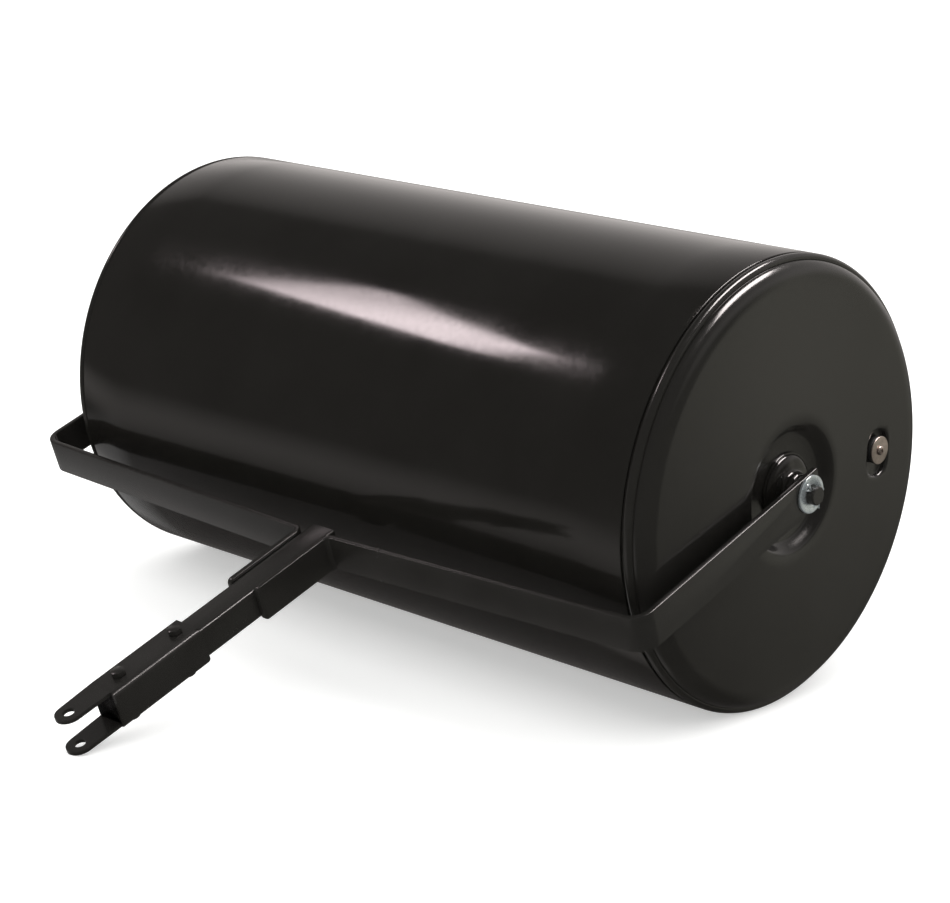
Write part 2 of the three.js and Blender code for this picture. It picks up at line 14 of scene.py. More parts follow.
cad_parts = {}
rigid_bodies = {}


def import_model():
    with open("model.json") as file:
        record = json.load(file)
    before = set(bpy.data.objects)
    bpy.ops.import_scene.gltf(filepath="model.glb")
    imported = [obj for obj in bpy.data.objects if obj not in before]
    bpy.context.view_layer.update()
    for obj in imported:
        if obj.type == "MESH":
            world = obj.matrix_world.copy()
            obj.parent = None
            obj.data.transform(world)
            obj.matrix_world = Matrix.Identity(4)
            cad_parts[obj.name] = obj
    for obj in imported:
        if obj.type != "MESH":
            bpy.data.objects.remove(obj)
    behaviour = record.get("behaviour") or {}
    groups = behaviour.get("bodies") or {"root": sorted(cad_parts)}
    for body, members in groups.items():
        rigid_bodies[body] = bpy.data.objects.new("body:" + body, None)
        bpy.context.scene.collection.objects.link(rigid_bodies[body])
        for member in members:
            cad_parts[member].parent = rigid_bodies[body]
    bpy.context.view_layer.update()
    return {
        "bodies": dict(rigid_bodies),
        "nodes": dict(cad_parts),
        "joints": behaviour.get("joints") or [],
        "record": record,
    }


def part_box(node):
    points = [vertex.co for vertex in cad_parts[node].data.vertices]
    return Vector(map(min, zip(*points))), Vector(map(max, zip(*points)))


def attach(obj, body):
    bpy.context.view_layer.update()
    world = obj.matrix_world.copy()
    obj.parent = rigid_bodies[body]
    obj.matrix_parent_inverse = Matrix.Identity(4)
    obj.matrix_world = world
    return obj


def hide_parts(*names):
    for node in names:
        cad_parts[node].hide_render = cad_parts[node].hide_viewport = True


log = logging.getLogger("lawn_roller")

Profile = list[tuple[float, float]]
Point = tuple[float, float, float]

MM = 0.001


# ---------------------------------------------------------------- helpers


def linear(hex_colour: str, alpha: float = 1.0) -> tuple[float, float, float, float]:
    """Turn an sRGB hex colour into the linear colour that a shader takes.

    Args:
        hex_colour: six hex digits, such as "1d1d1b".
        alpha: opacity from 0 to 1.

    Returns:
        Linear red, green, blue and alpha.
    """
    channels = [int(hex_colour[i:i + 2], 16) / 255 for i in (0, 2, 4)]
    red, green, blue = (c / 12.92 if c <= 0.04045 else ((c + 0.055) / 1.055) ** 2.4 for c in channels)
    return red, green, blue, alpha


def arc(centre: tuple[float, float], radii: tuple[float, float], start: float, end: float,
        steps: int) -> Profile:
    """Points along part of an ellipse.

    Args:
        centre: centre of the ellipse.
        radii: half its width and half its height.
        start: first angle in degrees.
        end: last angle in degrees.
        steps: number of straight pieces.

    Returns:
        The points, both ends included.
    """
    angles = [math.radians(start + (end - start) * i / steps) for i in range(steps + 1)]
    return [(centre[0] + radii[0] * math.cos(a), centre[1] + radii[1] * math.sin(a)) for a in angles]


def middle(node: str) -> Vector:
    """Middle of a CAD node's box."""
    low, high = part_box(node)
    return (Vector(low) + Vector(high)) / 2


def smooth_by_angle(obj: bpy.types.Object, degrees: float) -> None:
    """Shade an object smooth, with creases sharper than an angle left crisp.

    Args:
        obj: the mesh object.
        degrees: crease angle.
    """
    mesh = obj.data
    mesh.shade_smooth()
    work = bmesh.new()
    work.from_mesh(mesh)
    for edge in work.edges:
        edge.smooth = not edge.is_manifold or edge.calc_face_angle(0.0) < math.radians(degrees)
    work.to_mesh(mesh)
    work.free()


def mesh_object(name: str, build: Callable[[bmesh.types.BMesh], None],
                crease: float = 35.0) -> bpy.types.Object:
    """Make a mesh object in the scene.

    Args:
        name: the piece's name.
        build: fills an empty bmesh.
        crease: angle in degrees above which an edge stays crisp.

    Returns:
        The new object.
    """
    work = bmesh.new()
    build(work)
    bmesh.ops.recalc_face_normals(work, faces=work.faces)
    mesh = bpy.data.meshes.new(name)
    work.to_mesh(mesh)
    work.free()
    obj = bpy.data.objects.new(name, mesh)
    bpy.context.scene.collection.objects.link(obj)
    smooth_by_angle(obj, crease)
    return obj


@dataclass(frozen=True)
class Axis:
    """A line along Y that round pieces are turned about, with the side they face."""

    x: float
    z: float
    side: int = 1

    def place(self, radius: float, along: float, angle: float) -> Vector:
        """Point at a radius and an angle, at a distance along Y."""
        across, up = radius * math.cos(angle), radius * math.sin(angle)
        return Vector((self.x + across, self.side * along, self.z + up))


def turn(work: bmesh.types.BMesh, profile: Profile, axis: Axis, sides: int, closed: bool = True) -> None:
    """Turn a profile of (radius, distance along Y) about an axis.

    Args:
        work: bmesh to add to.
        profile: points of the profile, with radii of 0 on the axis itself.
        axis: line to turn about.
        sides: number of flats round.
        closed: whether the last point joins the first.
    """
    rings: list[list[bmesh.types.BMVert]] = []
    for radius, along in profile:
        if radius < 1e-7:
            rings.append([work.verts.new(axis.place(0, along, 0))] * sides)
        else:
            angles = (2 * math.pi * k / sides for k in range(sides))
            rings.append([work.verts.new(axis.place(radius, along, a)) for a in angles])
    last = len(rings) if closed else len(rings) - 1
    for i in range(last):
        here, there = rings[i], rings[(i + 1) % len(rings)]
        for k in range(sides):
            corners = [here[k], here[(k + 1) % sides], there[(k + 1) % sides], there[k]]
            unique = list(dict.fromkeys(corners))
            if len(unique) > 2:
                work.faces.new(unique)


# ---------------------------------------------------------------- finishes


class Material:
    """A node material under construction."""

    def __init__(self, name: str) -> None:
        """Start an empty node tree with its output."""
        self.material = bpy.data.materials.new(name)
        self.material.use_nodes = True
        self.start(self.material.node_tree, "ShaderNodeOutputMaterial")

    def start(self, tree: bpy.types.NodeTree, output: str) -> None:
        """Empty a node tree and add its output."""
        self.tree = tree
        self.tree.nodes.clear()
        self.output = self.tree.nodes.new(output)

    @classmethod
    def on(cls, tree: bpy.types.NodeTree, output: str) -> "Material":
        """Build on a node tree that belongs to something else, such as a world."""
        made = cls.__new__(cls)
        made.start(tree, output)
        return made

    def node(self, kind: str, settings: dict[str, Any] | None = None, links: dict[str, Any] | None = None,
             **values: Any) -> bpy.types.Node:
        """Add one node with its settings, socket values and links.

        Args:
            kind: type of the node.
            settings: properties of the node itself.
            links: input socket name to the output socket that feeds it.
            **values: input socket name, with _ for a space, to its value.

        Returns:
            The new node.
        """
        node = self.tree.nodes.new(kind)
        for key, value in (settings or {}).items():
            setattr(node, key, value)
        for key, value in values.items():
            node.inputs[key.replace("_", " ")].default_value = value
        for key, source in (links or {}).items():
            self.tree.links.new(source, node.inputs[key])
        return node

    def math(self, operation: str, *terms: Any) -> bpy.types.NodeSocket:
        """Result of a Math node on numbers or sockets."""
        node = self.node("ShaderNodeMath", {"operation": operation})
        for socket, term in zip(node.inputs, terms):
            if isinstance(term, bpy.types.NodeSocket):
                self.tree.links.new(term, socket)
            else:
                socket.default_value = term
        return node.outputs[0]

    def noise(self, spacing_mm: float, detail: float = 2.0,
              stretch: Point = (1, 1, 1)) -> bpy.types.NodeSocket:
        """Noise whose blotches are a real size.

        Args:
            spacing_mm: distance between blotches.
            detail: finer octaves.
            stretch: scale along X, Y and Z, for brushed or drawn marks.

        Returns:
            The noise's factor.
        """
        place = self.node("ShaderNodeTexCoord").outputs["Object"]
        scaled = self.node("ShaderNodeMapping", links={"Vector": place}, Scale=stretch)
        texture = self.node("ShaderNodeTexNoise", links={"Vector": scaled.outputs["Vector"]},
                            Scale=1 / (spacing_mm * MM), Detail=detail, Roughness=0.55)
        return texture.outputs[0]

    def span(self, value: bpy.types.NodeSocket, low: float, high: float, to_low: float,
             to_high: float) -> bpy.types.NodeSocket:
        """Map a range of a value onto another range, clamped."""
        node = self.node("ShaderNodeMapRange", links={"Value": value})
        for key, number in (("From Min", low), ("From Max", high), ("To Min", to_low), ("To Max", to_high)):
            node.inputs[key].default_value = number
        return node.outputs["Result"]

    def blend(self, factor: bpy.types.NodeSocket, first: str, second: str) -> bpy.types.NodeSocket:
        """Colour between two hex colours."""
        node = self.node("ShaderNodeMix", {"data_type": "RGBA"}, {"Factor": factor})
        node.inputs[6].default_value = linear(first)
        node.inputs[7].default_value = linear(second)
        return node.outputs[2]

    def bump(self, height: bpy.types.NodeSocket, depth_mm: float,
             after: bpy.types.NodeSocket | None = None) -> bpy.types.NodeSocket:
        """Normal raised by a height, a real depth in millimetres."""
        links = {"Height": height}
        if after is not None:
            links["Normal"] = after
        node = self.node("ShaderNodeBump", links=links, Strength=1.0, Distance=depth_mm * MM)
        return node.outputs["Normal"]

    def finish(self, links: dict[str, Any], **values: Any) -> bpy.types.Material:
        """Join a principled shader to the output and hand back the material."""
        shader = self.node("ShaderNodeBsdfPrincipled", links=links, **values)
        self.tree.links.new(shader.outputs["BSDF"], self.output.inputs["Surface"])
        return self.material


@dataclass(frozen=True)
class Enamel:
    """Baked enamel over steel: a thin hard film that pools a little, so reflections waver slightly."""

    name: str
    film: str
    dust: str
    roughness: float
    ripple_mm: float = 70.0        # sheet and film waviness, hand-sized
    ripple_depth_mm: float = 0.03
    peel_mm: float = 2.6           # orange peel of a sprayed film, drawn about twice as coarse as real
    peel_depth_mm: float = 0.0012
    scuff_and_glint_from: float = 0.0      # distance along Y beyond which the film is scuffed, in pale marks that also stand in for glints as painted highlight, 0 for none
    # pale grey of the scuffs, also a painted highlight standing in for the rim's glints
    scuff_and_glint_colour: str = "8d8683"

    def build(self) -> bpy.types.Material:
        """Make the material.

        Returns:
            A dielectric film whose gloss varies a little from place to place.
        """
        made = Material(self.name)
        cloud = made.noise(90, 3)
        fine = made.noise(6, 4)
        colour = made.blend(made.span(cloud, 0.35, 0.7, 0, 1), self.film, self.dust)
        rough = made.math("ADD", made.span(fine, 0.3, 0.7, -0.02, 0.02),
                          made.span(cloud, 0.3, 0.7, self.roughness - 0.015, self.roughness + 0.02))
        ripple = made.bump(made.noise(self.ripple_mm, 0), self.ripple_depth_mm)
        peel = made.bump(made.noise(self.peel_mm, 1), self.peel_depth_mm, ripple)
        if self.scuff_and_glint_from > 0:
            colour = self.scuffs_and_painted_glints(made, colour)
        return made.finish({"Base Color": colour, "Roughness": rough, "Normal": peel}, IOR=1.5)

    def scuffs_and_painted_glints(self, made: Material, colour: bpy.types.NodeSocket) -> bpy.types.NodeSocket:
        """Scratch the film through near the ends, in pale marks that are partly wear and partly painted
        highlight.

        Args:
            made: the material under construction.
            colour: colour of the whole film.

        Returns:
            The film with small pale scuffs, gathered in a few places along the rim: worn film that also
            serves as a painted highlight for the rim's glints.
        """
        parts = made.node("ShaderNodeSeparateXYZ",
                          links={"Vector": made.node("ShaderNodeTexCoord").outputs["Object"]}).outputs
        away = made.math("ABSOLUTE", parts["Y"])
        rim = made.span(away, self.scuff_and_glint_from, self.scuff_and_glint_from + 5 * MM, 0, 1)
        scratch = made.span(made.noise(1.6, 3, (1, 4, 1)), 0.62, 0.68, 0, 1)
        place = made.span(made.noise(70, 1), 0.56, 0.62, 0, 1)
        scuff_and_glint_mask = made.math("MULTIPLY", rim, made.math("MULTIPLY", scratch, place))
        mixed = made.node("ShaderNodeMix", {"data_type": "RGBA"}, {"Factor": scuff_and_glint_mask})
        made.tree.links.new(colour, mixed.inputs[6])
        # pale grey of bare steel through the film, bright enough to stand in for glints: painted highlight
        mixed.inputs[7].default_value = linear(self.scuff_and_glint_colour)
        return mixed.outputs[2]


@dataclass(frozen=True)
class PlatedSteel:
    """Electroplated or plain steel: a metal with faint drawn or tumbled marks."""

    name: str
    bright: str
    dull: str
    roughness: float
    mark_mm: float = 0.9           # tumbling marks, drawn coarser than real so they show
    mark_depth_mm: float = 0.006
    metal: float = 1.0             # less than 1 where a milky passivated film scatters light

    def build(self) -> bpy.types.Material:
        """Make the material.

        Returns:
            A metal whose tone and gloss vary with its marks.
        """
        made = Material(self.name)
        blotch = made.noise(7, 3)
        marks = made.noise(self.mark_mm, 2)
        colour = made.blend(made.span(blotch, 0.3, 0.7, 0, 1), self.bright, self.dull)
        rough = made.span(marks, 0.3, 0.7, self.roughness - 0.06, self.roughness + 0.08)
        normal = made.bump(marks, self.mark_depth_mm)
        links = {"Base Color": colour, "Roughness": rough, "Normal": normal}
        return made.finish(links, Metallic=self.metal)


@dataclass(frozen=True)
class Moulded:
    """Moulded rubber or nylon: a soft-looking dull skin with a fine grain."""

    name: str
    skin: str
    worn: str
    roughness: float
    grain_mm: float = 0.7          # mould grain, drawn coarser than real so it shows
    grain_depth_mm: float = 0.02

    def build(self) -> bpy.types.Material:
        """Make the material.

        Returns:
            A dielectric with a matte grain.
        """
        made = Material(self.name)
        grain = made.noise(self.grain_mm, 2)
        colour = made.blend(made.span(made.noise(5, 3), 0.35, 0.7, 0, 1), self.skin, self.worn)
        rough = made.span(grain, 0.3, 0.7, self.roughness - 0.05, self.roughness + 0.07)
        normal = made.bump(grain, self.grain_depth_mm)
        return made.finish({"Base Color": colour, "Roughness": rough, "Normal": normal}, IOR=1.52)


DRUM_ENAMEL = Enamel("gloss_baked_enamel", film="141311", dust="171614", roughness=0.11)
# the shell's rims carry pale scuffs: partly wear, partly painted highlight for the rim's glints
SHELL_ENAMEL = Enamel("gloss_enamel_scuffed_at_rims", film="141311", dust="171614", roughness=0.11,
                      scuff_and_glint_from=385 * MM)
HEAD_ENAMEL = Enamel("pressed_head_enamel", film="181715", dust="1b1a18", roughness=0.17,
                     ripple_mm=60, ripple_depth_mm=0.05)
FRAME_ENAMEL = Enamel("satin_baked_enamel", film="1a1917", dust="1f1e1c", roughness=0.24,
                      ripple_mm=40, ripple_depth_mm=0.02, peel_mm=1.6, peel_depth_mm=0.004)
ZINC_PLATE = PlatedSteel("bright_zinc_plate", bright="e2e9eb", dull="bcc6c9", roughness=0.28, metal=0.84)
STAMPED_STEEL = PlatedSteel("plain_stamped_steel", bright="cfc2ba", dull="a89c94", roughness=0.32)
PLUG_RUBBER = Moulded("moulded_rubber", skin="141414", worn="1e1d1c", roughness=0.55)
BUSH_NYLON = Moulded("natural_nylon", skin="d8d3c2", worn="c9c3b0", roughness=0.42)


def dress(obj: bpy.types.Object, material: bpy.types.Material) -> None:
    """Give an object one material in all its slots."""
    if not obj.material_slots:
        obj.data.materials.append(material)
    for slot in obj.material_slots:
        slot.material = material


class Paint:
    """The finishes, each made once and shared by the pieces that wear it."""

    def __init__(self) -> None:
        """Build every finish."""
        self.drum = DRUM_ENAMEL.build()
        self.shell = SHELL_ENAMEL.build()
        self.head = HEAD_ENAMEL.build()
        self.frame = FRAME_ENAMEL.build()
        self.zinc = ZINC_PLATE.build()
        self.steel = STAMPED_STEEL.build()
        self.rubber = PLUG_RUBBER.build()
        self.nylon = BUSH_NYLON.build()


# ---------------------------------------------------------------- shaping


class Side(Enum):
    """An end of the roller, seen by someone towing it."""

    LEFT = 1
    RIGHT = -1

    def node(self, stem: str) -> str:
        """Name of the CAD node on this side."""
        return f"{stem}_{self.name.lower()}"


class Cut(Enum):
    """How one mesh is combined with another."""

    UNION = "UNION"
    DIFFERENCE = "DIFFERENCE"
    INTERSECT = "INTERSECT"


def bar_outline(width: float, height: float, corner: float, steps: int = 3) -> Profile:
    """Rounded rectangle centred on its own origin.

    Args:
        width: size along the section's X.
        height: size along the section's Y.
        corner: corner radius.
        steps: straight pieces in each corner.

    Returns:
        The outline, running anticlockwise.
    """
    a, b = width / 2 - corner, height / 2 - corner
    corners = ((a, b, 0), (-a, b, 90), (-a, -b, 180), (a, -b, 270))
    return [p for x, y, start in corners for p in arc((x, y), (corner, corner), start, start + 90, steps)]


def combine(target: bpy.types.Object, tool: bpy.types.Object, operation: Cut, crease: float = 35.0) -> None:
    """Join, cut or intersect one mesh with another, and throw the tool away.

    Args:
        target: object that is changed.
        tool: object that is used up.
        operation: how they are combined.
        crease: angle in degrees above which an edge stays crisp.
    """
    modifier = target.modifiers.new("combine", "BOOLEAN")
    modifier.operation = operation.value
    modifier.object = tool
    modifier.solver = "EXACT"
    graph = bpy.context.evaluated_depsgraph_get()
    result = bpy.data.meshes.new_from_object(target.evaluated_get(graph))
    target.modifiers.clear()
    old = target.data
    target.data = result
    result.name = old.name
    bpy.data.meshes.remove(old)
    bpy.data.objects.remove(tool)
    smooth_by_angle(target, crease)


def soften(obj: bpy.types.Object, width: float) -> None:
    """Round the crisp edges of a folded or cut plate.

    Args:
        obj: the plate.
        width: radius of the edges.
    """
    modifier = obj.modifiers.new("soft_edges", "BEVEL")
    modifier.width = width
    modifier.segments = 2
    modifier.limit_method = "ANGLE"
    modifier.angle_limit = math.radians(50)
    modifier.harden_normals = True


def upright_turn(name: str, profile: Profile, place: Matrix, sides: int, closed: bool = False
                 ) -> bpy.types.Object:
    """Piece turned about a frame's own Z.

    Args:
        name: the piece's name.
        profile: points of (radius, height).
        place: the frame.
        sides: number of flats round.
        closed: whether the last point joins the first.

    Returns:
        The piece.
    """
    swing = place @ Matrix.Rotation(math.radians(90), 4, "X")

    def build(work: bmesh.types.BMesh) -> None:
        """Turn about Y, then stand it up."""
        turn(work, profile, Axis(0, 0), sides, closed)
        work.transform(swing)
    return mesh_object(name, build, 30)


def smooth_path(points: Sequence[Vector], steps: int) -> list[Vector]:
    """Catmull-Rom curve through points.

    Args:
        points: points in order.
        steps: pieces between neighbours.

    Returns:
        The curve's points.
    """
    ends = [2 * points[0] - points[1], *points, 2 * points[-1] - points[-2]]
    curve = []
    for a, b, c, d in zip(ends, ends[1:], ends[2:], ends[3:]):
        for k in range(steps):
            t = k / steps
            curve.append(0.5 * (2 * b + (c - a) * t + (2 * a - 5 * b + 4 * c - d) * t * t
                                + (3 * b - a - 3 * c + d) * t ** 3))
    return [*curve, points[-1]]


def keep(obj: bpy.types.Object, material: bpy.types.Material, body: str, node: str) -> None:
    """Dress a piece and let it stand for a CAD node.

    Args:
        obj: the piece.
        material: its finish.
        body: the body that it moves with.
        node: the CAD node that it replaces.
    """
    dress(obj, material)
    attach(obj, body)
    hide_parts(node)
    log.info("built %s", obj.name)


def bent_line(line: Sequence[tuple[float, float]], bends: Sequence[float], steps: int
              ) -> list[tuple[Vector, Vector]]:
    """Points and directions along straight runs joined by arcs.

    Args:
        line: corner points in a plane.
        bends: radius of the bend at each inner corner.
        steps: straight pieces in each bend.

    Returns:
        Each station's place and direction, in the plane.
    """
    points = [Vector(p) for p in line]
    stations = [(points[0], (points[1] - points[0]).normalized())]
    for before, corner, after, radius in zip(points, points[1:], points[2:], bends):
        into, out = (corner - before).normalized(), (after - corner).normalized()
        angle = math.atan2(into.x * out.y - into.y * out.x, into.dot(out))
        start = corner - into * radius * math.tan(abs(angle) / 2)
        centre = start + Vector((-into.y, into.x)) * math.copysign(radius, angle)
        for k in range(steps + 1):
            turned = Matrix.Rotation(angle * k / steps, 2)
            stations.append((centre + turned @ (start - centre), turned @ into))
    stations.append((points[-1], (points[-1] - points[-2]).normalized()))
    return stations


# ---------------------------------------------------------------- drum


@dataclass
class Drum:
    """Rolled shell, two pressed heads and their hub bells, all on the drum's body."""

    paint: Paint
    sheet: float = 2 * MM
    skirt: float = 8 * MM
    fit: float = 0.3 * MM
    bead: float = 5 * MM
    shoulder_width: float = 22 * MM
    shoulder_height: float = 13.5 * MM
    face_start: float = 22.5 * MM
    crown: float = 4.5 * MM
    recess_radius: float = 67 * MM
    floor_radius: float = 53 * MM
    recess_depth: float = 10.5 * MM
    tube_radius: float = 15 * MM
    boss_radius: float = 36 * MM
    boss_wall: float = 2.2 * MM
    boss_neck: float = 9 * MM
    pocket_width: float = 33 * MM
    pocket_length: float = 48 * MM
    pocket_drop: float = 3 * MM
    pocket_depth: float = 6 * MM
    plug_hole: float = 13.3 * MM
    sides: int = 288
    boss_sides: int = 96
    radius: float = field(init=False)
    half_length: float = field(init=False)
    face_radius: float = field(init=False)

    def __post_init__(self) -> None:
        """Read the drum's place and size from the CAD nodes."""
        low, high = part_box("drum_shell")
        self.centre = middle("axle_tube")
        self.radius = (high[0] - low[0]) / 2
        self.half_length = high[1]
        self.face_radius = self.radius - self.sheet - self.bead - self.shoulder_width + 1 * MM

    def axis(self, side: Side = Side.LEFT) -> Axis:
        """The drum's axis, facing one side."""
        return Axis(self.centre.x, self.centre.z, side.value)

    def keep(self, obj: bpy.types.Object, material: bpy.types.Material, node: str) -> None:
        """Let a piece stand for its CAD node on the drum."""
        keep(obj, material, "drum", node)

    def shell(self) -> None:
        """Rolled sheet whose two edges are eased."""
        edge = arc((self.radius - self.sheet / 2, self.half_length - self.sheet / 2),
                   (self.sheet / 2, self.sheet / 2), 180, 0, 6)
        far = [(r, -along) for r, along in reversed(edge)]
        flats = [self.half_length * (1 - k / 6) for k in range(1, 12)]
        outside = [(self.radius, along) for along in flats]
        profile = edge + outside + far
        obj = mesh_object("rolled_shell", lambda w: turn(w, profile, self.axis(), self.sides), 50)
        self.keep(obj, self.paint.shell, "drum_shell")

    def face_height(self, radius: float) -> float:
        """Height of a head's outer face above the shell's end.

        Args:
            radius: distance from the axle.

        Returns:
            The height, with the crown and the hub recess.
        """
        def crowned(r: float) -> float:
            """Height of the crown alone."""
            return self.face_start + self.crown * (1 - (r / self.face_radius) ** 2)
        if radius >= self.recess_radius:
            return crowned(radius)
        t = (radius - self.floor_radius) / (self.recess_radius - self.floor_radius)
        t = min(max(t, 0), 1)
        return crowned(self.recess_radius) - self.recess_depth * (1 - t * t * (3 - 2 * t))

    def head_profile(self) -> Profile:
        """Closed profile of a head: skirt, bead, groove, shoulder, crowned face and recess.

        Returns:
            Points of (radius, distance from the drum's middle).
        """
        skirt = self.radius - self.sheet - self.fit
        bead = arc((self.radius - self.bead, self.bead + self.fit), (self.bead, self.bead), -57, 100, 22)
        shoulder_foot = self.face_start - self.shoulder_height

        def shoulder(inset: float) -> Profile:
            """Outer or inner line of the shoulder."""
            return arc((self.face_radius, shoulder_foot),
                       (self.shoulder_width - inset, self.shoulder_height - inset), 0, 88, 18)
        inner_end = self.tube_radius + self.fit
        flats = [self.face_radius + (self.recess_radius - self.face_radius) * k / 12 for k in range(1, 13)]
        dip = self.floor_radius - self.recess_radius
        fillet = [self.recess_radius + dip * k / 10 for k in range(1, 11)]
        stations = [*flats, *fillet, inner_end]
        outer = [(skirt, -self.skirt), *bead, *shoulder(0), *((r, self.face_height(r)) for r in stations)]
        inner = [(r, self.face_height(r) - self.sheet) for r in reversed(stations)]
        inner += [*reversed(shoulder(self.sheet)), (skirt - self.sheet, self.sheet),
                  (skirt - self.sheet, -self.skirt)]
        return [(r, self.half_length + height) for r, height in outer + inner]

    def head(self, side: Side) -> bpy.types.Object:
        """Turn one head.

        Args:
            side: the end that it closes.

        Returns:
            The head, without the filler's pocket.
        """
        name = side.node("pressed_head")
        return mesh_object(name, lambda w: turn(w, self.head_profile(), self.axis(side), self.sides), 40)

    def pocket_prism(self, name: str, stations: Sequence[tuple[float, float]]) -> bpy.types.Object:
        """Obround prism round the filler plug.

        Args:
            name: name of the object.
            stations: pairs of distance along Y and how far the outline grows there.

        Returns:
            The prism.
        """
        plug = middle("plug_disc")

        def build(work: bmesh.types.BMesh) -> None:
            """Loft between the outlines."""
            rings = []
            centre = plug.z - self.pocket_drop
            for along, grow in stations:
                width, length = self.pocket_width + 2 * grow, self.pocket_length + 2 * grow
                outline = bar_outline(width, length, width / 2 - 0.01 * MM, 16)
                rings.append([work.verts.new((plug.x + a, along, centre + b)) for a, b in outline])
            for here, there in zip(rings, rings[1:]):
                for k in range(len(here)):
                    n = (k + 1) % len(here)
                    work.faces.new([here[k], here[n], there[n], there[k]])
            work.faces.new(rings[0])
            work.faces.new(rings[-1])
        return mesh_object(name, build)

    def left_head(self) -> None:
        """Left head with the pressed pocket and the filler's hole."""
        head = self.head(Side.LEFT)
        plug = middle("plug_disc")
        away = math.hypot(plug.x - self.centre.x, plug.z - self.centre.z)
        seat = self.half_length + self.face_height(away) - self.pocket_depth
        lip = self.half_length + self.face_height(away + self.pocket_length / 2) - self.fit
        cup = self.pocket_prism("cup", [(seat - self.sheet, self.sheet), (lip, self.sheet)])
        combine(head, cup, Cut.UNION)
        rim = seat + self.pocket_depth
        flare = [(seat, -1.5 * MM), (seat + 0.6 * MM, -0.4 * MM), (seat + 1.5 * MM, 0.0),
                 (rim - 2.6 * MM, 0.2 * MM), (rim - 1.6 * MM, 0.7 * MM), (rim - 0.8 * MM, 1.5 * MM),
                 (rim - 0.2 * MM, 2.8 * MM), (rim + 0.3 * MM, 5 * MM),
                 (rim + 2 * self.pocket_depth, 6 * MM)]
        combine(head, self.pocket_prism("hollow", flare), Cut.DIFFERENCE)
        hole_axis = Axis(plug.x, plug.z)
        hole = [(0, seat - 4 * self.sheet), (self.plug_hole, seat - 4 * self.sheet),
                (self.plug_hole, seat + 4 * self.sheet), (0, seat + 4 * self.sheet)]
        drill = mesh_object("drill", lambda w: turn(w, hole, hole_axis, 64, closed=False))
        combine(head, drill, Cut.DIFFERENCE)
        self.keep(head, self.paint.head, "drum_head_left")

    def boss(self, side: Side) -> None:
        """Bell-shaped hub pressing that stands in the recess.

        Args:
            side: the end that it stands on.
        """
        name = side.node("hub_boss")
        base, end = sorted(abs(corner.y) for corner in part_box(name))
        top = end - base
        inside = self.tube_radius + self.fit
        neck = inside + self.boss_wall
        bell_top = top - self.boss_neck
        wall = self.boss_wall
        bell = arc((neck, wall), (self.boss_radius - 2 * MM - neck, bell_top - wall), 0, 66, 14)
        root = [(neck + 3.6 * MM, bell_top + 0.2 * MM), (neck + 1.6 * MM, bell_top + 1.1 * MM),
                (neck + 0.5 * MM, bell_top + 2.3 * MM), (neck, bell_top + 3.8 * MM)]
        outer = [(self.boss_radius, 0), (self.boss_radius, wall * 0.7), (self.boss_radius - 0.6 * MM, wall),
                 *bell, *root, (neck, top - 1 * MM), (neck - 1 * MM, top), (inside, top)]
        inner = [(inside, bell_top - 3 * MM), (inside + 6 * MM, bell_top - 3.6 * MM),
                 (self.boss_radius - 5 * MM, wall), (self.boss_radius - 5 * MM, 0)]
        profile = [(r, base + height) for r, height in outer + inner]
        obj = mesh_object(f"{name}_bell", lambda w: turn(w, profile, self.axis(side), self.boss_sides), 45)
        self.keep(obj, self.paint.drum, name)

    def build(self) -> None:
        """Build the drum's shell, both heads and their hub bells."""
        self.shell()
        self.left_head()
        self.keep(self.head(Side.RIGHT), self.paint.head, "drum_head_right")
        for side in Side:
            self.boss(side)


# ---------------------------------------------------------------- frame


@dataclass(frozen=True)
class Level:
    """The frame's own level, tipped down towards the hitch: U forward, V to the left, W up."""

    matrix: Matrix

    @classmethod
    def of(cls, frame: dict[str, Any]) -> "Level":
        """Read the level from the record.

        Args:
            frame: the loaded frame, with its record and nodes.

        Returns:
            The level through the axle's middle.
        """
        mounts = {m["name"]: m for m in frame["record"]["mounts"]}
        up = mounts["hitch_lower_ear"]["axis"]
        slope = math.atan2(up[0], up[2])
        return cls(Matrix.Translation(middle("axle")) @ Matrix.Rotation(slope, 4, "Y"))

    def at(self, u: float, v: float, w: float) -> Matrix:
        """The level moved to a place."""
        return self.matrix @ Matrix.Translation((u, v, w))


def basis(x: Vector, y: Vector, z: Vector, place: Vector) -> Matrix:
    """Frame with the given axes and origin."""
    rows = [(x[i], y[i], z[i], place[i]) for i in range(3)]
    return Matrix([*rows, (0, 0, 0, 1)])


def loft(work: bmesh.types.BMesh, rings: Sequence[Sequence[Vector]], closed: bool = False) -> None:
    """Skin a row of outlines that all have the same number of points.

    Args:
        work: bmesh to add to.
        rings: the outlines.
        closed: whether the last outline joins the first; otherwise both ends are capped.
    """
    made = [[work.verts.new(p) for p in ring] for ring in rings]
    count = len(made[0])
    pairs = list(zip(made, made[1:])) + ([(made[-1], made[0])] if closed else [])
    for here, there in pairs:
        for k in range(count):
            work.faces.new([here[k], here[(k + 1) % count], there[(k + 1) % count], there[k]])
    if not closed:
        work.faces.new(made[0][::-1])
        work.faces.new(made[-1])


def prism(work: bmesh.types.BMesh, outline: Profile, place: Matrix, low: float, high: float) -> None:
    """Flat outline in a frame's X and Y, raised from one height to another."""
    loft(work, [[place @ Vector((a, b, h)) for a, b in outline] for h in (low, high)])


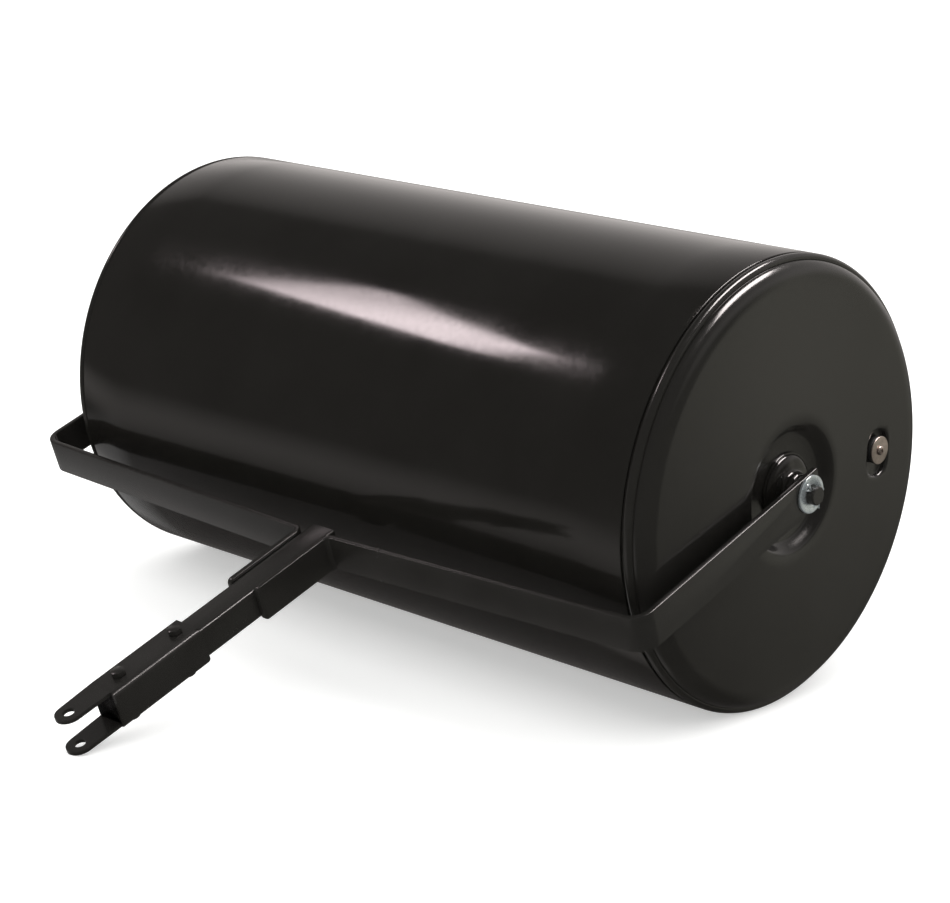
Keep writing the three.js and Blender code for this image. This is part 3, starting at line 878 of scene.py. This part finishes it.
@dataclass
class FrameBars:
    """Two flat bars bent round the drum, whose front ends lie along the tongue."""

    paint: Paint
    level: Level
    bar: float = 6 * MM
    height: float = 38 * MM
    edge: float = 0.9 * MM
    tail: float = 18 * MM
    span: float = 872 * MM
    corner_reach: float = 262 * MM
    tongue_reach: float = 277 * MM
    corner_bend: float = 19 * MM
    flange_bend: float = 8 * MM
    flange_end: float = 376 * MM
    flange_round: float = 5 * MM
    tongue_offset: float = 20 * MM
    flange_offset: float = 19.3 * MM
    bore: float = 9.8 * MM
    bend_steps: int = 20

    def half(self, side: Side) -> None:
        """One half of the frame.

        Args:
            side: the half.
        """
        arm = side.value * (self.span - self.bar) / 2
        flange = self.tongue_offset + side.value * self.flange_offset
        line = [(-self.tail, arm), (self.corner_reach - self.bar / 2, arm),
                (self.tongue_reach - self.bar / 2, flange), (self.flange_end, flange)]
        stations = bent_line(line, [self.corner_bend, self.flange_bend], self.bend_steps)
        tail_place, tail_way = stations[0]
        nose_place, nose_way = stations[-1]
        steps = [math.pi / 2 * k / 6 for k in range(7)]
        rings = [(tail_place + tail_way * self.edge * (1 - math.cos(a)), tail_way,
                  self.edge * (1 - math.sin(a)), self.edge * (1 - math.sin(a))) for a in steps]
        rings += [(place, way, 0.0, 0.0) for place, way in stations[1:-1]]
        turn_start = nose_place - nose_way * self.flange_round
        rings += [(turn_start + nose_way * self.flange_round * math.sin(a), nose_way,
                   self.flange_round * (1 - math.cos(a)), 0.0) for a in steps]

        def build(work: bmesh.types.BMesh) -> None:
            """Sweep the bar's section along the bent line."""
            skins = []
            for place, way, lower, thinner in rings:
                across, along = Vector((-way.y, way.x, 0)), Vector((way.x, way.y, 0))
                here = basis(across, Vector((0, 0, 1)), along, Vector((place.x, place.y, 0)))
                corner = self.edge - 0.9 * thinner
                section = bar_outline(self.bar - 2 * thinner, self.height - 2 * lower, corner)
                skins.append([self.level.matrix @ here @ Vector((a, b, 0)) for a, b in section])
            loft(work, skins)
        obj = mesh_object(side.node("flat_bar"), build, 50)
        spot = Axis(*self.level.matrix.translation.xz, side.value)
        reach = self.span / 2
        hole = [(0, reach - 3 * self.bar), (self.bore, reach - 3 * self.bar), (self.bore, reach + self.bar),
                (0, reach + self.bar)]
        drill = mesh_object("drill", lambda w: turn(w, hole, spot, 48, closed=False))
        combine(obj, drill, Cut.DIFFERENCE, 50)
        keep(obj, self.paint.frame, "frame", side.node("frame_bar"))

    def build(self) -> None:
        """Build both halves."""
        for side in Side:
            self.half(side)


@dataclass
class Tongue:
    """Square tube with the folded hitch channel bolted round its front end."""

    paint: Paint
    level: Level
    offset: float = 20 * MM
    tube: float = 32 * MM
    wall: float = 2.6 * MM
    tube_round: float = 3 * MM
    tube_start: float = 260 * MM
    tube_end: float = 562 * MM
    fit: float = 0.3 * MM
    plate: float = 3.8 * MM
    bend: float = 5 * MM
    hitch_start: float = 450 * MM
    web_end: float = 564 * MM
    ear_hole: float = 604 * MM
    ear_half_width: float = 14 * MM
    ear_hole_radius: float = 6 * MM
    rear_round: float = 6 * MM
    bolts: tuple[float, float] = (466 * MM, 540 * MM)
    bolt_radius: float = 4 * MM

    def __post_init__(self) -> None:
        """Work out the channel's inner and outer half heights."""
        self.inside = self.tube / 2 + self.fit
        self.outside = self.inside + self.plate

    def cross(self, u: float) -> Matrix:
        """Frame across the tongue at a distance: X to the left, Y up, Z forward."""
        turn_up = basis(Vector((0, 1, 0)), Vector((0, 0, 1)), Vector((1, 0, 0)), Vector((u, self.offset, 0)))
        return self.level.matrix @ turn_up

    def drill(self, target: bpy.types.Object, u: float, radius: float, reach: float) -> None:
        """Drill an upright hole on the tongue's middle line."""
        circle = arc((0, 0), (radius, radius), 0, 357, 47)
        place = self.level.at(u, self.offset, 0)
        combine(target, mesh_object("drill", lambda w: prism(w, circle, place, -reach, reach)),
                Cut.DIFFERENCE, 40)

    def square_tube(self) -> None:
        """Drawn square tube, open at both ends."""
        bore = self.tube - 2 * self.wall
        ease = 0.3 * MM

        def build(work: bmesh.types.BMesh) -> None:
            """Skin the tube outside and inside."""
            outer = bar_outline(self.tube, self.tube, self.tube_round, 6)
            eased = bar_outline(self.tube - 2 * ease, self.tube - 2 * ease, self.tube_round - ease, 6)
            inner = bar_outline(bore, bore, 1 * MM, 6)
            stations = [(self.tube_start, eased), (self.tube_start + ease, outer),
                        (self.tube_end - ease, outer), (self.tube_end, eased), (self.tube_end, inner),
                        (self.tube_start, inner)]
            loft(work, [[self.cross(u) @ Vector((a, b, 0)) for a, b in line] for u, line in stations],
                 closed=True)
        obj = mesh_object("square_tube", build, 40)
        for u in self.bolts:
            self.drill(obj, u, self.bolt_radius + self.fit, self.tube)
        keep(obj, self.paint.frame, "frame", "tongue_tube")

    def channel(self) -> None:
        """Channel folded over the tube's top, left side and bottom, with two ears in front."""
        inner_round = self.bend - self.plate
        out, inn, right = self.outside, self.inside, -self.tube / 2
        fold, nook = (self.bend, self.bend), (inner_round, inner_round)
        section = [*arc((out - self.bend, out - self.bend), fold, 0, 90, 10), (right, out), (right, inn),
                   *arc((inn - inner_round, inn - inner_round), nook, 90, 0, 4),
                   *arc((inn - inner_round, inner_round - inn), nook, 0, -90, 4),
                   (right, -inn), (right, -out),
                   *arc((out - self.bend, self.bend - out), fold, -90, 0, 10)]

        def fold_up(work: bmesh.types.BMesh) -> None:
            """Run the folded section along the tube."""
            ends = (self.hitch_start, self.web_end)
            loft(work, [[self.cross(u) @ Vector((a, b, 0)) for a, b in section] for u in ends])
        obj = mesh_object("hitch_fold", fold_up, 40)
        tip = arc((self.ear_hole, self.offset), (self.ear_half_width, self.ear_half_width), -90, 90, 36)
        left = self.offset + self.ear_half_width + 0.5 * MM
        ear = [(self.web_end - self.plate, self.offset + right), *tip, (self.web_end + 6 * MM, left),
               (self.web_end - self.plate, left)]
        for low in (self.inside, -self.outside):
            plate = mesh_object("ear", lambda w: prism(w, ear, self.level.matrix, low, low + self.plate))
            combine(obj, plate, Cut.UNION, 40)
        for end in (1, -1):
            combine(obj, self.corner_cutter(end), Cut.DIFFERENCE, 40)
        self.drill(obj, self.ear_hole, self.ear_hole_radius, self.tube)
        for u in self.bolts:
            self.drill(obj, u, self.bolt_radius + self.fit, self.tube)
        soften(obj, 0.45 * MM)
        keep(obj, self.paint.frame, "frame", "hitch_channel")

    def corner_cutter(self, end: int) -> bpy.types.Object:
        """Tool that rounds one rear corner of the web.

        Args:
            end: 1 for the upper corner, -1 for the lower one.

        Returns:
            The tool.
        """
        size, over = self.rear_round, self.rear_round + 1 * MM
        centre = Vector((self.hitch_start + size, end * (self.outside - size)))
        curve = [(centre.x - a, centre.y + end * b) for a, b in arc((0, 0), (size, size), 0, 90, 12)]
        outline = [*curve, (centre.x, centre.y + end * over), (centre.x - over, centre.y + end * over),
                   (centre.x - over, centre.y)]
        upright = basis(Vector((1, 0, 0)), Vector((0, 0, 1)), Vector((0, -1, 0)),
                        Vector((0, self.offset, 0)))
        low, high = -self.outside - 1 * MM, 1 * MM - self.inside
        return mesh_object("corner", lambda w: prism(w, outline, self.level.matrix @ upright, low, high))

    def build(self) -> None:
        """Build the tube and the channel."""
        self.square_tube()
        self.channel()


# ---------------------------------------------------------------- hardware


@dataclass
class HitchBolts:
    """Two hex bolts through the hitch, each with its split washer and nut."""

    paint: Paint
    level: Level
    places: dict[str, float] = field(default_factory=lambda: {"rear": 466 * MM, "front": 540 * MM})
    offset: float = 20 * MM
    seat: float = 20.4 * MM
    under: float = 20.4 * MM
    radius: float = 4 * MM
    length: float = 50 * MM
    head: float = 5.3 * MM
    flats: float = 13 * MM
    nut: float = 6.5 * MM
    washer: float = 2 * MM
    washer_radius: float = 7.3 * MM
    pitch: float = 1.25 * MM
    fit: float = 0.3 * MM

    def hexagon(self, name: str, place: Matrix, low: float, high: float) -> bpy.types.Object:
        """Hexagon whose corners are chamfered at both ends.

        Args:
            name: the piece's name.
            place: frame of the bolt.
            low: lower face.
            high: upper face.

        Returns:
            The hexagon.
        """
        corner = self.flats / math.sqrt(3)
        outline = arc((0, 0), (corner, corner), 0, 300, 5)
        obj = mesh_object(name, lambda w: prism(w, outline, place, low, high))
        face, drop = 0.94 * self.flats / 2, 0.9 * MM
        cone = [(0, low), (face, low), (corner + 0.2 * MM, low + drop), (corner + 0.2 * MM, high - drop),
                (face, high), (0, high)]
        combine(obj, upright_turn("cone", cone, place, 72), Cut.INTERSECT, 20)
        return obj

    def bolt(self, key: str, u: float) -> None:
        """One bolt, with the thread's ridges below the nut.

        Args:
            key: rear or front.
            u: distance in front of the axle.
        """
        place = self.level.at(u, self.offset, 0)
        obj = self.hexagon(f"hex_bolt_{key}", place, self.seat, self.seat + self.head)
        end = self.seat - self.length
        turns = int((self.length - 2 * self.under) / self.pitch)
        ridges = [(self.radius - (0.55 * MM if k % 2 else 0), end + (k + 2) * self.pitch / 2)
                  for k in range(2 * turns)]
        shank = [(0, end), (self.radius - 0.9 * MM, end), *ridges, (self.radius, -self.under),
                 (self.radius, self.seat + 1 * MM), (0, self.seat + 1 * MM)]
        combine(obj, upright_turn("shank", shank, place, 48), Cut.UNION, 30)
        keep(obj, self.paint.frame, "frame", f"hitch_bolt_{key}")

    def lock_washer(self, key: str, u: float) -> None:
        """Split spring washer, cut through at an angle.

        Args:
            key: rear or front.
            u: distance in front of the axle.
        """
        place = self.level.at(u, self.offset, 0)
        bore, ease = self.radius + self.fit, 0.25 * MM
        top, low = -self.under, -self.under - self.washer
        ring = [(bore, low), (self.washer_radius - ease, low), (self.washer_radius, low + ease),
                (self.washer_radius, top - ease), (self.washer_radius - ease, top), (bore, top)]
        obj = upright_turn(f"spring_washer_{key}", ring, place, 64, closed=True)
        slant = place @ Matrix.Rotation(math.radians(35), 4, "Z") @ Matrix.Rotation(math.radians(25), 4, "X")
        saw = bar_outline(12 * MM, 0.8 * MM, 0.1 * MM)
        middle_of = Matrix.Translation((self.washer_radius + 1 * MM, 0, 0))
        tool = mesh_object("saw", lambda w: prism(w, saw, slant @ middle_of, low - self.nut, top + self.nut))
        combine(obj, tool, Cut.DIFFERENCE, 30)
        keep(obj, self.paint.frame, "frame", f"hitch_lock_washer_{key}")

    def hex_nut(self, key: str, u: float) -> None:
        """Nut under the lower plate.

        Args:
            key: rear or front.
            u: distance in front of the axle.
        """
        place = self.level.at(u, self.offset, 0)
        top = -self.under - self.washer - self.fit
        obj = self.hexagon(f"hex_nut_{key}", place, top - self.nut, top)
        bore = self.radius + self.fit
        start, end = top - 2 * self.nut, top + self.nut
        hole = [(0, start), (bore, start), (bore, end), (0, end)]
        combine(obj, upright_turn("bore", hole, place, 48), Cut.DIFFERENCE, 20)
        keep(obj, self.paint.frame, "frame", f"hitch_nut_{key}")

    def build(self) -> None:
        """Build both sets."""
        for key, u in self.places.items():
            self.bolt(key, u)
            self.lock_washer(key, u)
            self.hex_nut(key, u)


@dataclass
class AxleEnds:
    """Axle with a flat washer and a split pin at each end."""

    paint: Paint
    level: Level
    radius: float = 9.5 * MM
    chamfer: float = 1 * MM
    bore: float = 9.8 * MM
    pin_wire: float = 1.6 * MM
    pin_hole: float = 2 * MM
    pin_eye: float = 3.2 * MM
    pin_leg: float = 12.5 * MM
    pin_below: float = 11 * MM
    pin_turn: float = 30.0

    def leaning(self, side: Side) -> Matrix:
        """The level as seen from one end, turned about the axle as that end's pin stands."""
        half_turn = 0 if side is Side.LEFT else math.pi
        return (self.level.matrix @ Matrix.Rotation(half_turn, 4, "Z")
                @ Matrix.Rotation(math.radians(self.pin_turn), 4, "Y"))

    def axle(self) -> None:
        """Round bar, cross-drilled for the pins."""
        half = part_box("axle")[1].y
        spot = self.level.matrix.translation
        profile = [(0, -half), (self.radius - self.chamfer, -half), (self.radius, self.chamfer - half),
                   (self.radius, half - self.chamfer), (self.radius - self.chamfer, half), (0, half)]
        obj = mesh_object("axle_bar", lambda w: turn(w, profile, Axis(spot.x, spot.z), 64, closed=False), 30)
        for side in Side:
            place = self.leaning(side) @ Matrix.Translation((0, abs(middle(side.node("cotter_pin")).y), 0))
            circle = arc((0, 0), (self.pin_hole, self.pin_hole), 0, 345, 23)
            tool = mesh_object("drill", lambda w: prism(w, circle, place, -2 * self.radius, 2 * self.radius))
            combine(obj, tool, Cut.DIFFERENCE, 30)
        keep(obj, self.paint.frame, "frame", "axle")

    def flat_washer(self, node: str, ease: float) -> None:
        """Stamped washer with one rolled edge.

        Args:
            node: the CAD node that it replaces.
            ease: radius of the rolled edge.
        """
        low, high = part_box(node)
        radius, outward = (high.z - low.z) / 2, 1 if low.y > 0 else -1
        near, far = sorted((abs(low.y), abs(high.y)))
        spot = self.level.matrix.translation
        profile = [(self.bore, near), (radius - 0.1 * MM, near), (radius, near + 0.1 * MM),
                   *arc((radius - ease, far - ease), (ease, ease), 0, 90, 5), (self.bore + 0.2 * MM, far),
                   (self.bore, far - 0.2 * MM)]
        line = Axis(spot.x, spot.z, outward)
        obj = mesh_object(f"stamped_{node}", lambda w: turn(w, profile, line, 96), 60)
        keep(obj, self.paint.zinc, "frame", node)

    def split_pin(self, side: Side) -> None:
        """Split pin of half-round wire: an eye on top, one leg bent back and one forward.

        Args:
            side: the end that it holds.
        """
        node = side.node("cotter_pin")
        y = abs(middle(node).y)
        gap, below = self.pin_wire / 2 + 0.1 * MM, -self.pin_below
        eye = arc((0, self.radius + 2 * MM + self.pin_eye), (self.pin_eye, self.pin_eye), -60, 240, 24)
        line = [(6 * MM, below - 5 * MM), (3.4 * MM, below - 2.6 * MM), (gap, below + 1 * MM), (gap, 0),
                (gap, self.radius - 1 * MM), *eye, (-gap, self.radius - 1 * MM), (-gap, 0),
                (-gap, below + 1 * MM), (-3.4 * MM, below - 1 * MM), (-8 * MM, below + 0.6 * MM),
                (-self.pin_leg, below + 3 * MM)]
        curve = smooth_path([Vector((u, y, w)) for u, w in line], 8)
        rings = []
        for before, here, after in zip([curve[0], *curve], curve, [*curve[1:], curve[-1]]):
            way = (after - before).normalized()
            across = Vector((0, 1, 0))
            frame = basis(across.cross(way), across, way, here)
            circle = arc((0, 0), (self.pin_wire / 2, self.pin_wire / 2), 0, 337.5, 15)
            rings.append([self.leaning(side) @ frame @ Vector((a, b, 0)) for a, b in circle])
        obj = mesh_object(f"split_{node}", lambda w: loft(w, rings), 60)
        keep(obj, self.paint.zinc, "frame", node)

    def build(self) -> None:
        """Build the axle and what holds it."""
        self.axle()
        for side in Side:
            self.flat_washer(side.node("outer_washer"), 0.5 * MM)
            self.flat_washer(side.node("inner_washer"), 0.2 * MM)
            self.split_pin(side)


@dataclass
class FillerPlug:
    """Rubber plug squeezed by a screw between a steel disc and a washer."""

    paint: Paint
    disc_radius: float = 14.5 * MM
    disc: float = 1.7 * MM
    body_radius: float = 13 * MM
    lip_radius: float = 14 * MM
    lip: float = 5.7 * MM
    bore: float = 2.8 * MM
    screw_radius: float = 2.5 * MM
    head_radius: float = 4.6 * MM
    head: float = 2.2 * MM
    recess: tuple[float, float] = (5.8 * MM, 1.7 * MM)
    recess_depth: float = 1.8 * MM
    recess_turn: float = 22.0
    fit: float = 0.3 * MM
    body: str = "filler_plug"

    def __post_init__(self) -> None:
        """Find the plug's axis and its stack of faces."""
        spot = middle("plug_disc")
        self.axis = Axis(spot.x, spot.z)
        self.disc_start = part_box("plug_disc")[0].y
        self.inner_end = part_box("plug_body")[0].y

    def turned(self, name: str, profile: Profile, sides: int = 72, crease: float = 50) -> bpy.types.Object:
        """Piece turned about the plug's axis."""
        return mesh_object(name, lambda w: turn(w, profile, self.axis, sides), crease)

    def rubber(self) -> None:
        """Moulded body with a rounded lip."""
        top = self.disc_start - self.fit
        seat = top - self.lip
        soft = 0.9 * MM
        profile = [(self.bore, self.inner_end), (self.body_radius - 1.5 * MM, self.inner_end),
                   (self.body_radius, self.inner_end + 2 * MM), (self.body_radius, seat),
                   (self.lip_radius - 0.3 * MM, seat), (self.lip_radius, seat + 0.4 * MM),
                   *arc((self.lip_radius - soft, top - soft), (soft, soft), 0, 90, 6), (self.bore, top)]
        keep(self.turned("rubber_plug", profile), self.paint.rubber, self.body, "plug_body")

    def steel_disc(self) -> None:
        """Stamped disc with an eased rim."""
        start, end, ease = self.disc_start, self.disc_start + self.disc, 0.7 * MM
        profile = [(self.bore, start), (self.disc_radius - 0.2 * MM, start),
                   (self.disc_radius, start + 0.2 * MM),
                   *arc((self.disc_radius - ease, end - ease), (ease, ease), 0, 90, 6), (self.bore, end)]
        keep(self.turned("stamped_disc", profile), self.paint.steel, self.body, "plug_disc")

    def screw(self) -> None:
        """Pan-head screw with a cross recess."""
        seat = self.disc_start + self.disc + self.fit
        top, end = seat + self.head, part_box("plug_screw")[0].y
        dome = arc((0, seat + 0.8 * MM), (self.head_radius, self.head - 0.8 * MM), 0, 84, 8)
        profile = [(0, end), (self.screw_radius, end), (self.screw_radius, seat),
                   (self.head_radius - 0.2 * MM, seat), (self.head_radius, seat + 0.2 * MM),
                   *dome, (0, top)]
        obj = mesh_object("pan_head_screw", lambda w: turn(w, profile, self.axis, 64, closed=False), 50)
        face = basis(Vector((1, 0, 0)), Vector((0, 0, 1)), Vector((0, 1, 0)),
                     Vector((self.axis.x, 0, self.axis.z)))
        for quarter in (0, 90):
            place = face @ Matrix.Rotation(math.radians(quarter + self.recess_turn), 4, "Z")
            slot = bar_outline(*self.recess, self.fit)
            low, high = top - self.recess_depth, top + 1 * MM
            tool = mesh_object("slot", lambda w: prism(w, slot, place, low, high))
            combine(obj, tool, Cut.DIFFERENCE, 40)
        keep(obj, self.paint.steel, self.body, "plug_screw")

    def build(self) -> None:
        """Build what shows of the plug."""
        self.rubber()
        self.steel_disc()
        self.screw()


# ---------------------------------------------------------------- studio


@dataclass(frozen=True)
class Panel:
    """A flat softbox seen only in reflections."""

    name: str
    corners: tuple[Point, Point, Point, Point]
    strength: float
    tint: str
    dim_share: float = 1.0         # brightness of the edge between the first two corners

    def build(self) -> None:
        """Hang the panel."""
        def face(work: bmesh.types.BMesh) -> None:
            """One four-cornered face."""
            work.faces.new([work.verts.new(c) for c in self.corners])
        obj = mesh_object(self.name, face)
        made = Material(f"{self.name}_cloth")
        start, end = self.corners[0][0], self.corners[2][0]
        across = made.node("ShaderNodeSeparateXYZ",
                           links={"Vector": made.node("ShaderNodeTexCoord").outputs["Object"]}).outputs["X"]
        dim = self.strength * self.dim_share
        level = made.span(across, start, start + (end - start) / 2, dim, self.strength)
        glow = made.node("ShaderNodeEmission", links={"Strength": level}, Color=linear(self.tint))
        made.tree.links.new(glow.outputs["Emission"], made.output.inputs["Surface"])
        dress(obj, made.material)
        obj.visible_camera = obj.visible_diffuse = obj.visible_shadow = False


@dataclass
class Studio:
    """White floor, soft studio surroundings, two softboxes and the camera."""

    floor_size: float = 60.0
    sky: float = 1.3
    table_glow: float = 0.45
    camera_place: Vector = field(default_factory=lambda: Vector((1.75954, 1.79893, 0.90087)))
    aim: Vector = field(default_factory=lambda: Vector((-0.1688, 0.0049, 0.1868)))
    roll: float = 1.146
    lens: float = 96.07
    side_box: Panel = Panel("side_softbox", ((0.96, -2.2, 1.96), (0.70, -2.2, 2.60), (1.66, -2.2, 2.77),
                                             (1.80, -2.2, 2.36)), 16.0, "ffeff1", 0.55)
    top_box: Panel = Panel("overhead_softbox", ((-1.9, 0.4, 2.6), (-1.9, 1.5, 2.6), (-0.3, 2.1, 2.6),
                                                (-0.3, 0.9, 2.6)), 26.0, "fff6f4")

    def floor(self) -> None:
        """Matt pale floor, lit softly from below as a product table is, that runs out of sight."""
        half = self.floor_size / 2
        corners = [(-half, -half, 0), (half, -half, 0), (half, half, 0), (-half, half, 0)]

        def build(work: bmesh.types.BMesh) -> None:
            """One large face."""
            work.faces.new([work.verts.new(c) for c in corners])
        obj = mesh_object("studio_floor", build)
        made = Material("matt_white_floor")
        colour = made.blend(made.span(made.noise(400, 2), 0.3, 0.7, 0, 1), "f6f6f5", "f3f3f2")
        dress(obj, made.finish({"Base Color": colour, "Emission Color": colour}, Roughness=1.0,
                               Emission_Strength=self.table_glow))
        obj.visible_glossy = False

    def surroundings(self) -> None:
        """Soft room: evenly lit, and a room of walls and gaps in reflections."""
        world = bpy.data.worlds.new("studio_room")
        bpy.context.scene.world = world
        world.use_nodes = True
        made = Material.on(world.node_tree, "ShaderNodeOutputWorld")
        parts = made.node("ShaderNodeSeparateXYZ",
                          links={"Vector": made.node("ShaderNodeTexCoord").outputs["Generated"]}).outputs
        angle = made.math("ARCTAN2", parts["Z"], parts["X"])
        place = made.math("ADD", made.math("DIVIDE", angle, 2 * math.pi), 0.5)
        ramp = made.node("ShaderNodeValToRGB", links={"Fac": place})
        stops = ramp.color_ramp
        while len(stops.elements) < len(ROOM):
            stops.elements.new(0.5)
        for element, (degrees, level) in zip(stops.elements, ROOM):
            element.position = (degrees + 180) / 360
            element.color = tuple(level * share for share in ROOM_TINT) + (1,)
        beside = made.math("MULTIPLY", made.span(parts["X"], *WALL_DOORWAY),
                           made.span(parts["X"], *WALL_CORNER))
        level = made.math("MULTIPLY", beside, made.span(parts["Z"], *WALL_FOOT))
        wall = made.node("ShaderNodeVectorMath", {"operation": "SCALE"}, {"Scale": level})
        wall.inputs[0].default_value = WALL_TINT
        facing = made.math("MULTIPLY", made.span(parts["Y"], *WALL_SIDE),
                           made.span(parts["Z"], *WALL_TOP))
        room = made.node("ShaderNodeMix", {"data_type": "RGBA"}, {"Factor": facing})
        patch = made.math("MULTIPLY", made.span(parts["Y"], *FLOOR_SIDE),
                          made.span(parts["Z"], *FLOOR_EDGE))
        lit = made.node("ShaderNodeVectorMath", {"operation": "ADD"})
        made.tree.links.new(ramp.outputs["Color"], lit.inputs[0])
        made.tree.links.new(patch, lit.inputs[1])
        made.tree.links.new(lit.outputs[0], room.inputs[6])
        made.tree.links.new(wall.outputs[0], room.inputs[7])
        seen = made.node("ShaderNodeBackground", links={"Color": room.outputs[2]}, Strength=1.0)
        plain = made.node("ShaderNodeBackground", Color=(1, 1, 1, 1), Strength=self.sky)
        glossy = made.node("ShaderNodeLightPath").outputs["Is Glossy Ray"]
        both = made.node("ShaderNodeMixShader", links={"Fac": glossy})
        made.tree.links.new(plain.outputs[0], both.inputs[1])
        made.tree.links.new(seen.outputs[0], both.inputs[2])
        made.tree.links.new(both.outputs[0], made.output.inputs["Surface"])

    def camera(self) -> None:
        """Long lens in front of the roller's left end, a little above it."""
        data = bpy.data.cameras.new("camera")
        data.lens, data.sensor_width = self.lens, 36
        obj = bpy.data.objects.new("camera", data)
        bpy.context.scene.collection.objects.link(obj)
        back = (self.camera_place - self.aim).normalized()
        level = Vector((0, 0, 1)).cross(back).normalized()
        upright = basis(level, back.cross(level), back, self.camera_place)
        obj.matrix_world = upright @ Matrix.Rotation(math.radians(self.roll), 4, "Z")
        bpy.context.scene.camera = obj

    def build(self) -> None:
        """Set the scene."""
        self.floor()
        self.surroundings()
        self.side_box.build()
        self.top_box.build()
        self.camera()
        bpy.context.scene.view_settings.view_transform = "Standard"


# Brightness of the room in reflections, by angle in degrees from the front's horizon over the top:
# the floor's far side and near side, the dark room in front, a dim ceiling and the bright wall behind.
ROOM = ((-180, 0.74), (-168, 0.1), (-97, 0.06), (-90, 0.25), (-84, 0.36), (-76, 0.13), (-54, 0.06),
        (-46, 0.08), (-37, 0.33), (-30, 0.42), (-23, 0.30), (-16, 0.1), (33, 0.09), (107, 0.085),
        (113, 0.24), (119, 0.33), (140, 0.53), (164, 0.85), (180, 0.85))
ROOM_TINT = (1.0, 0.94, 0.91)      # the walls' slightly warm white
WALL_TINT = (1.0, 0.97, 0.84)      # the warmer wall behind the left end

# How brightness steps with a reflection's direction along one axis: from, to, level before, level after.
WALL_DOORWAY = (-0.79, -0.64, 0.6, 0.08)
WALL_CORNER = (-0.84, -0.77, 0.6, 1)
WALL_FOOT = (-0.36, -0.20, 0.4, 1.1)
WALL_SIDE = (0.0, 0.3, 0, 1)
WALL_TOP = (0.1, 0.35, 1, 0)
FLOOR_SIDE = (-0.80, -0.73, 0.34, 0)
FLOOR_EDGE = (-0.5, -0.35, 1, 0)


def dress_hidden(frame: dict[str, Any], paint: Paint) -> None:
    """Dress the CAD nodes that are kept as they are, inside the drum.

    Args:
        frame: the loaded frame, with its record and nodes.
        paint: the finishes.
    """
    finishes = {"axle_tube": (paint.frame, "frame_enamel"), "axle_bush_left": (paint.nylon, "nylon"),
                "axle_bush_right": (paint.nylon, "nylon"), "plug_clamp_washer": (paint.steel, "plain_steel"),
                "plug_nut": (paint.steel, "plain_steel")}
    for name, (material, slot) in finishes.items():
        node = frame["nodes"][name]
        dress(node, material)
        log.info("dressed %s", name)


def main() -> None:
    """Build each part of the roller in turn and report it."""
    logging.basicConfig(level=logging.INFO, format="%(message)s")
    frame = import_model()
    paint, level = Paint(), Level.of(frame)
    Drum(paint).build()
    FillerPlug(paint).build()
    FrameBars(paint, level).build()
    Tongue(paint, level).build()
    HitchBolts(paint, level).build()
    AxleEnds(paint, level).build()
    dress_hidden(frame, paint)
    Studio().build()


if __name__ == "__main__":
    main()
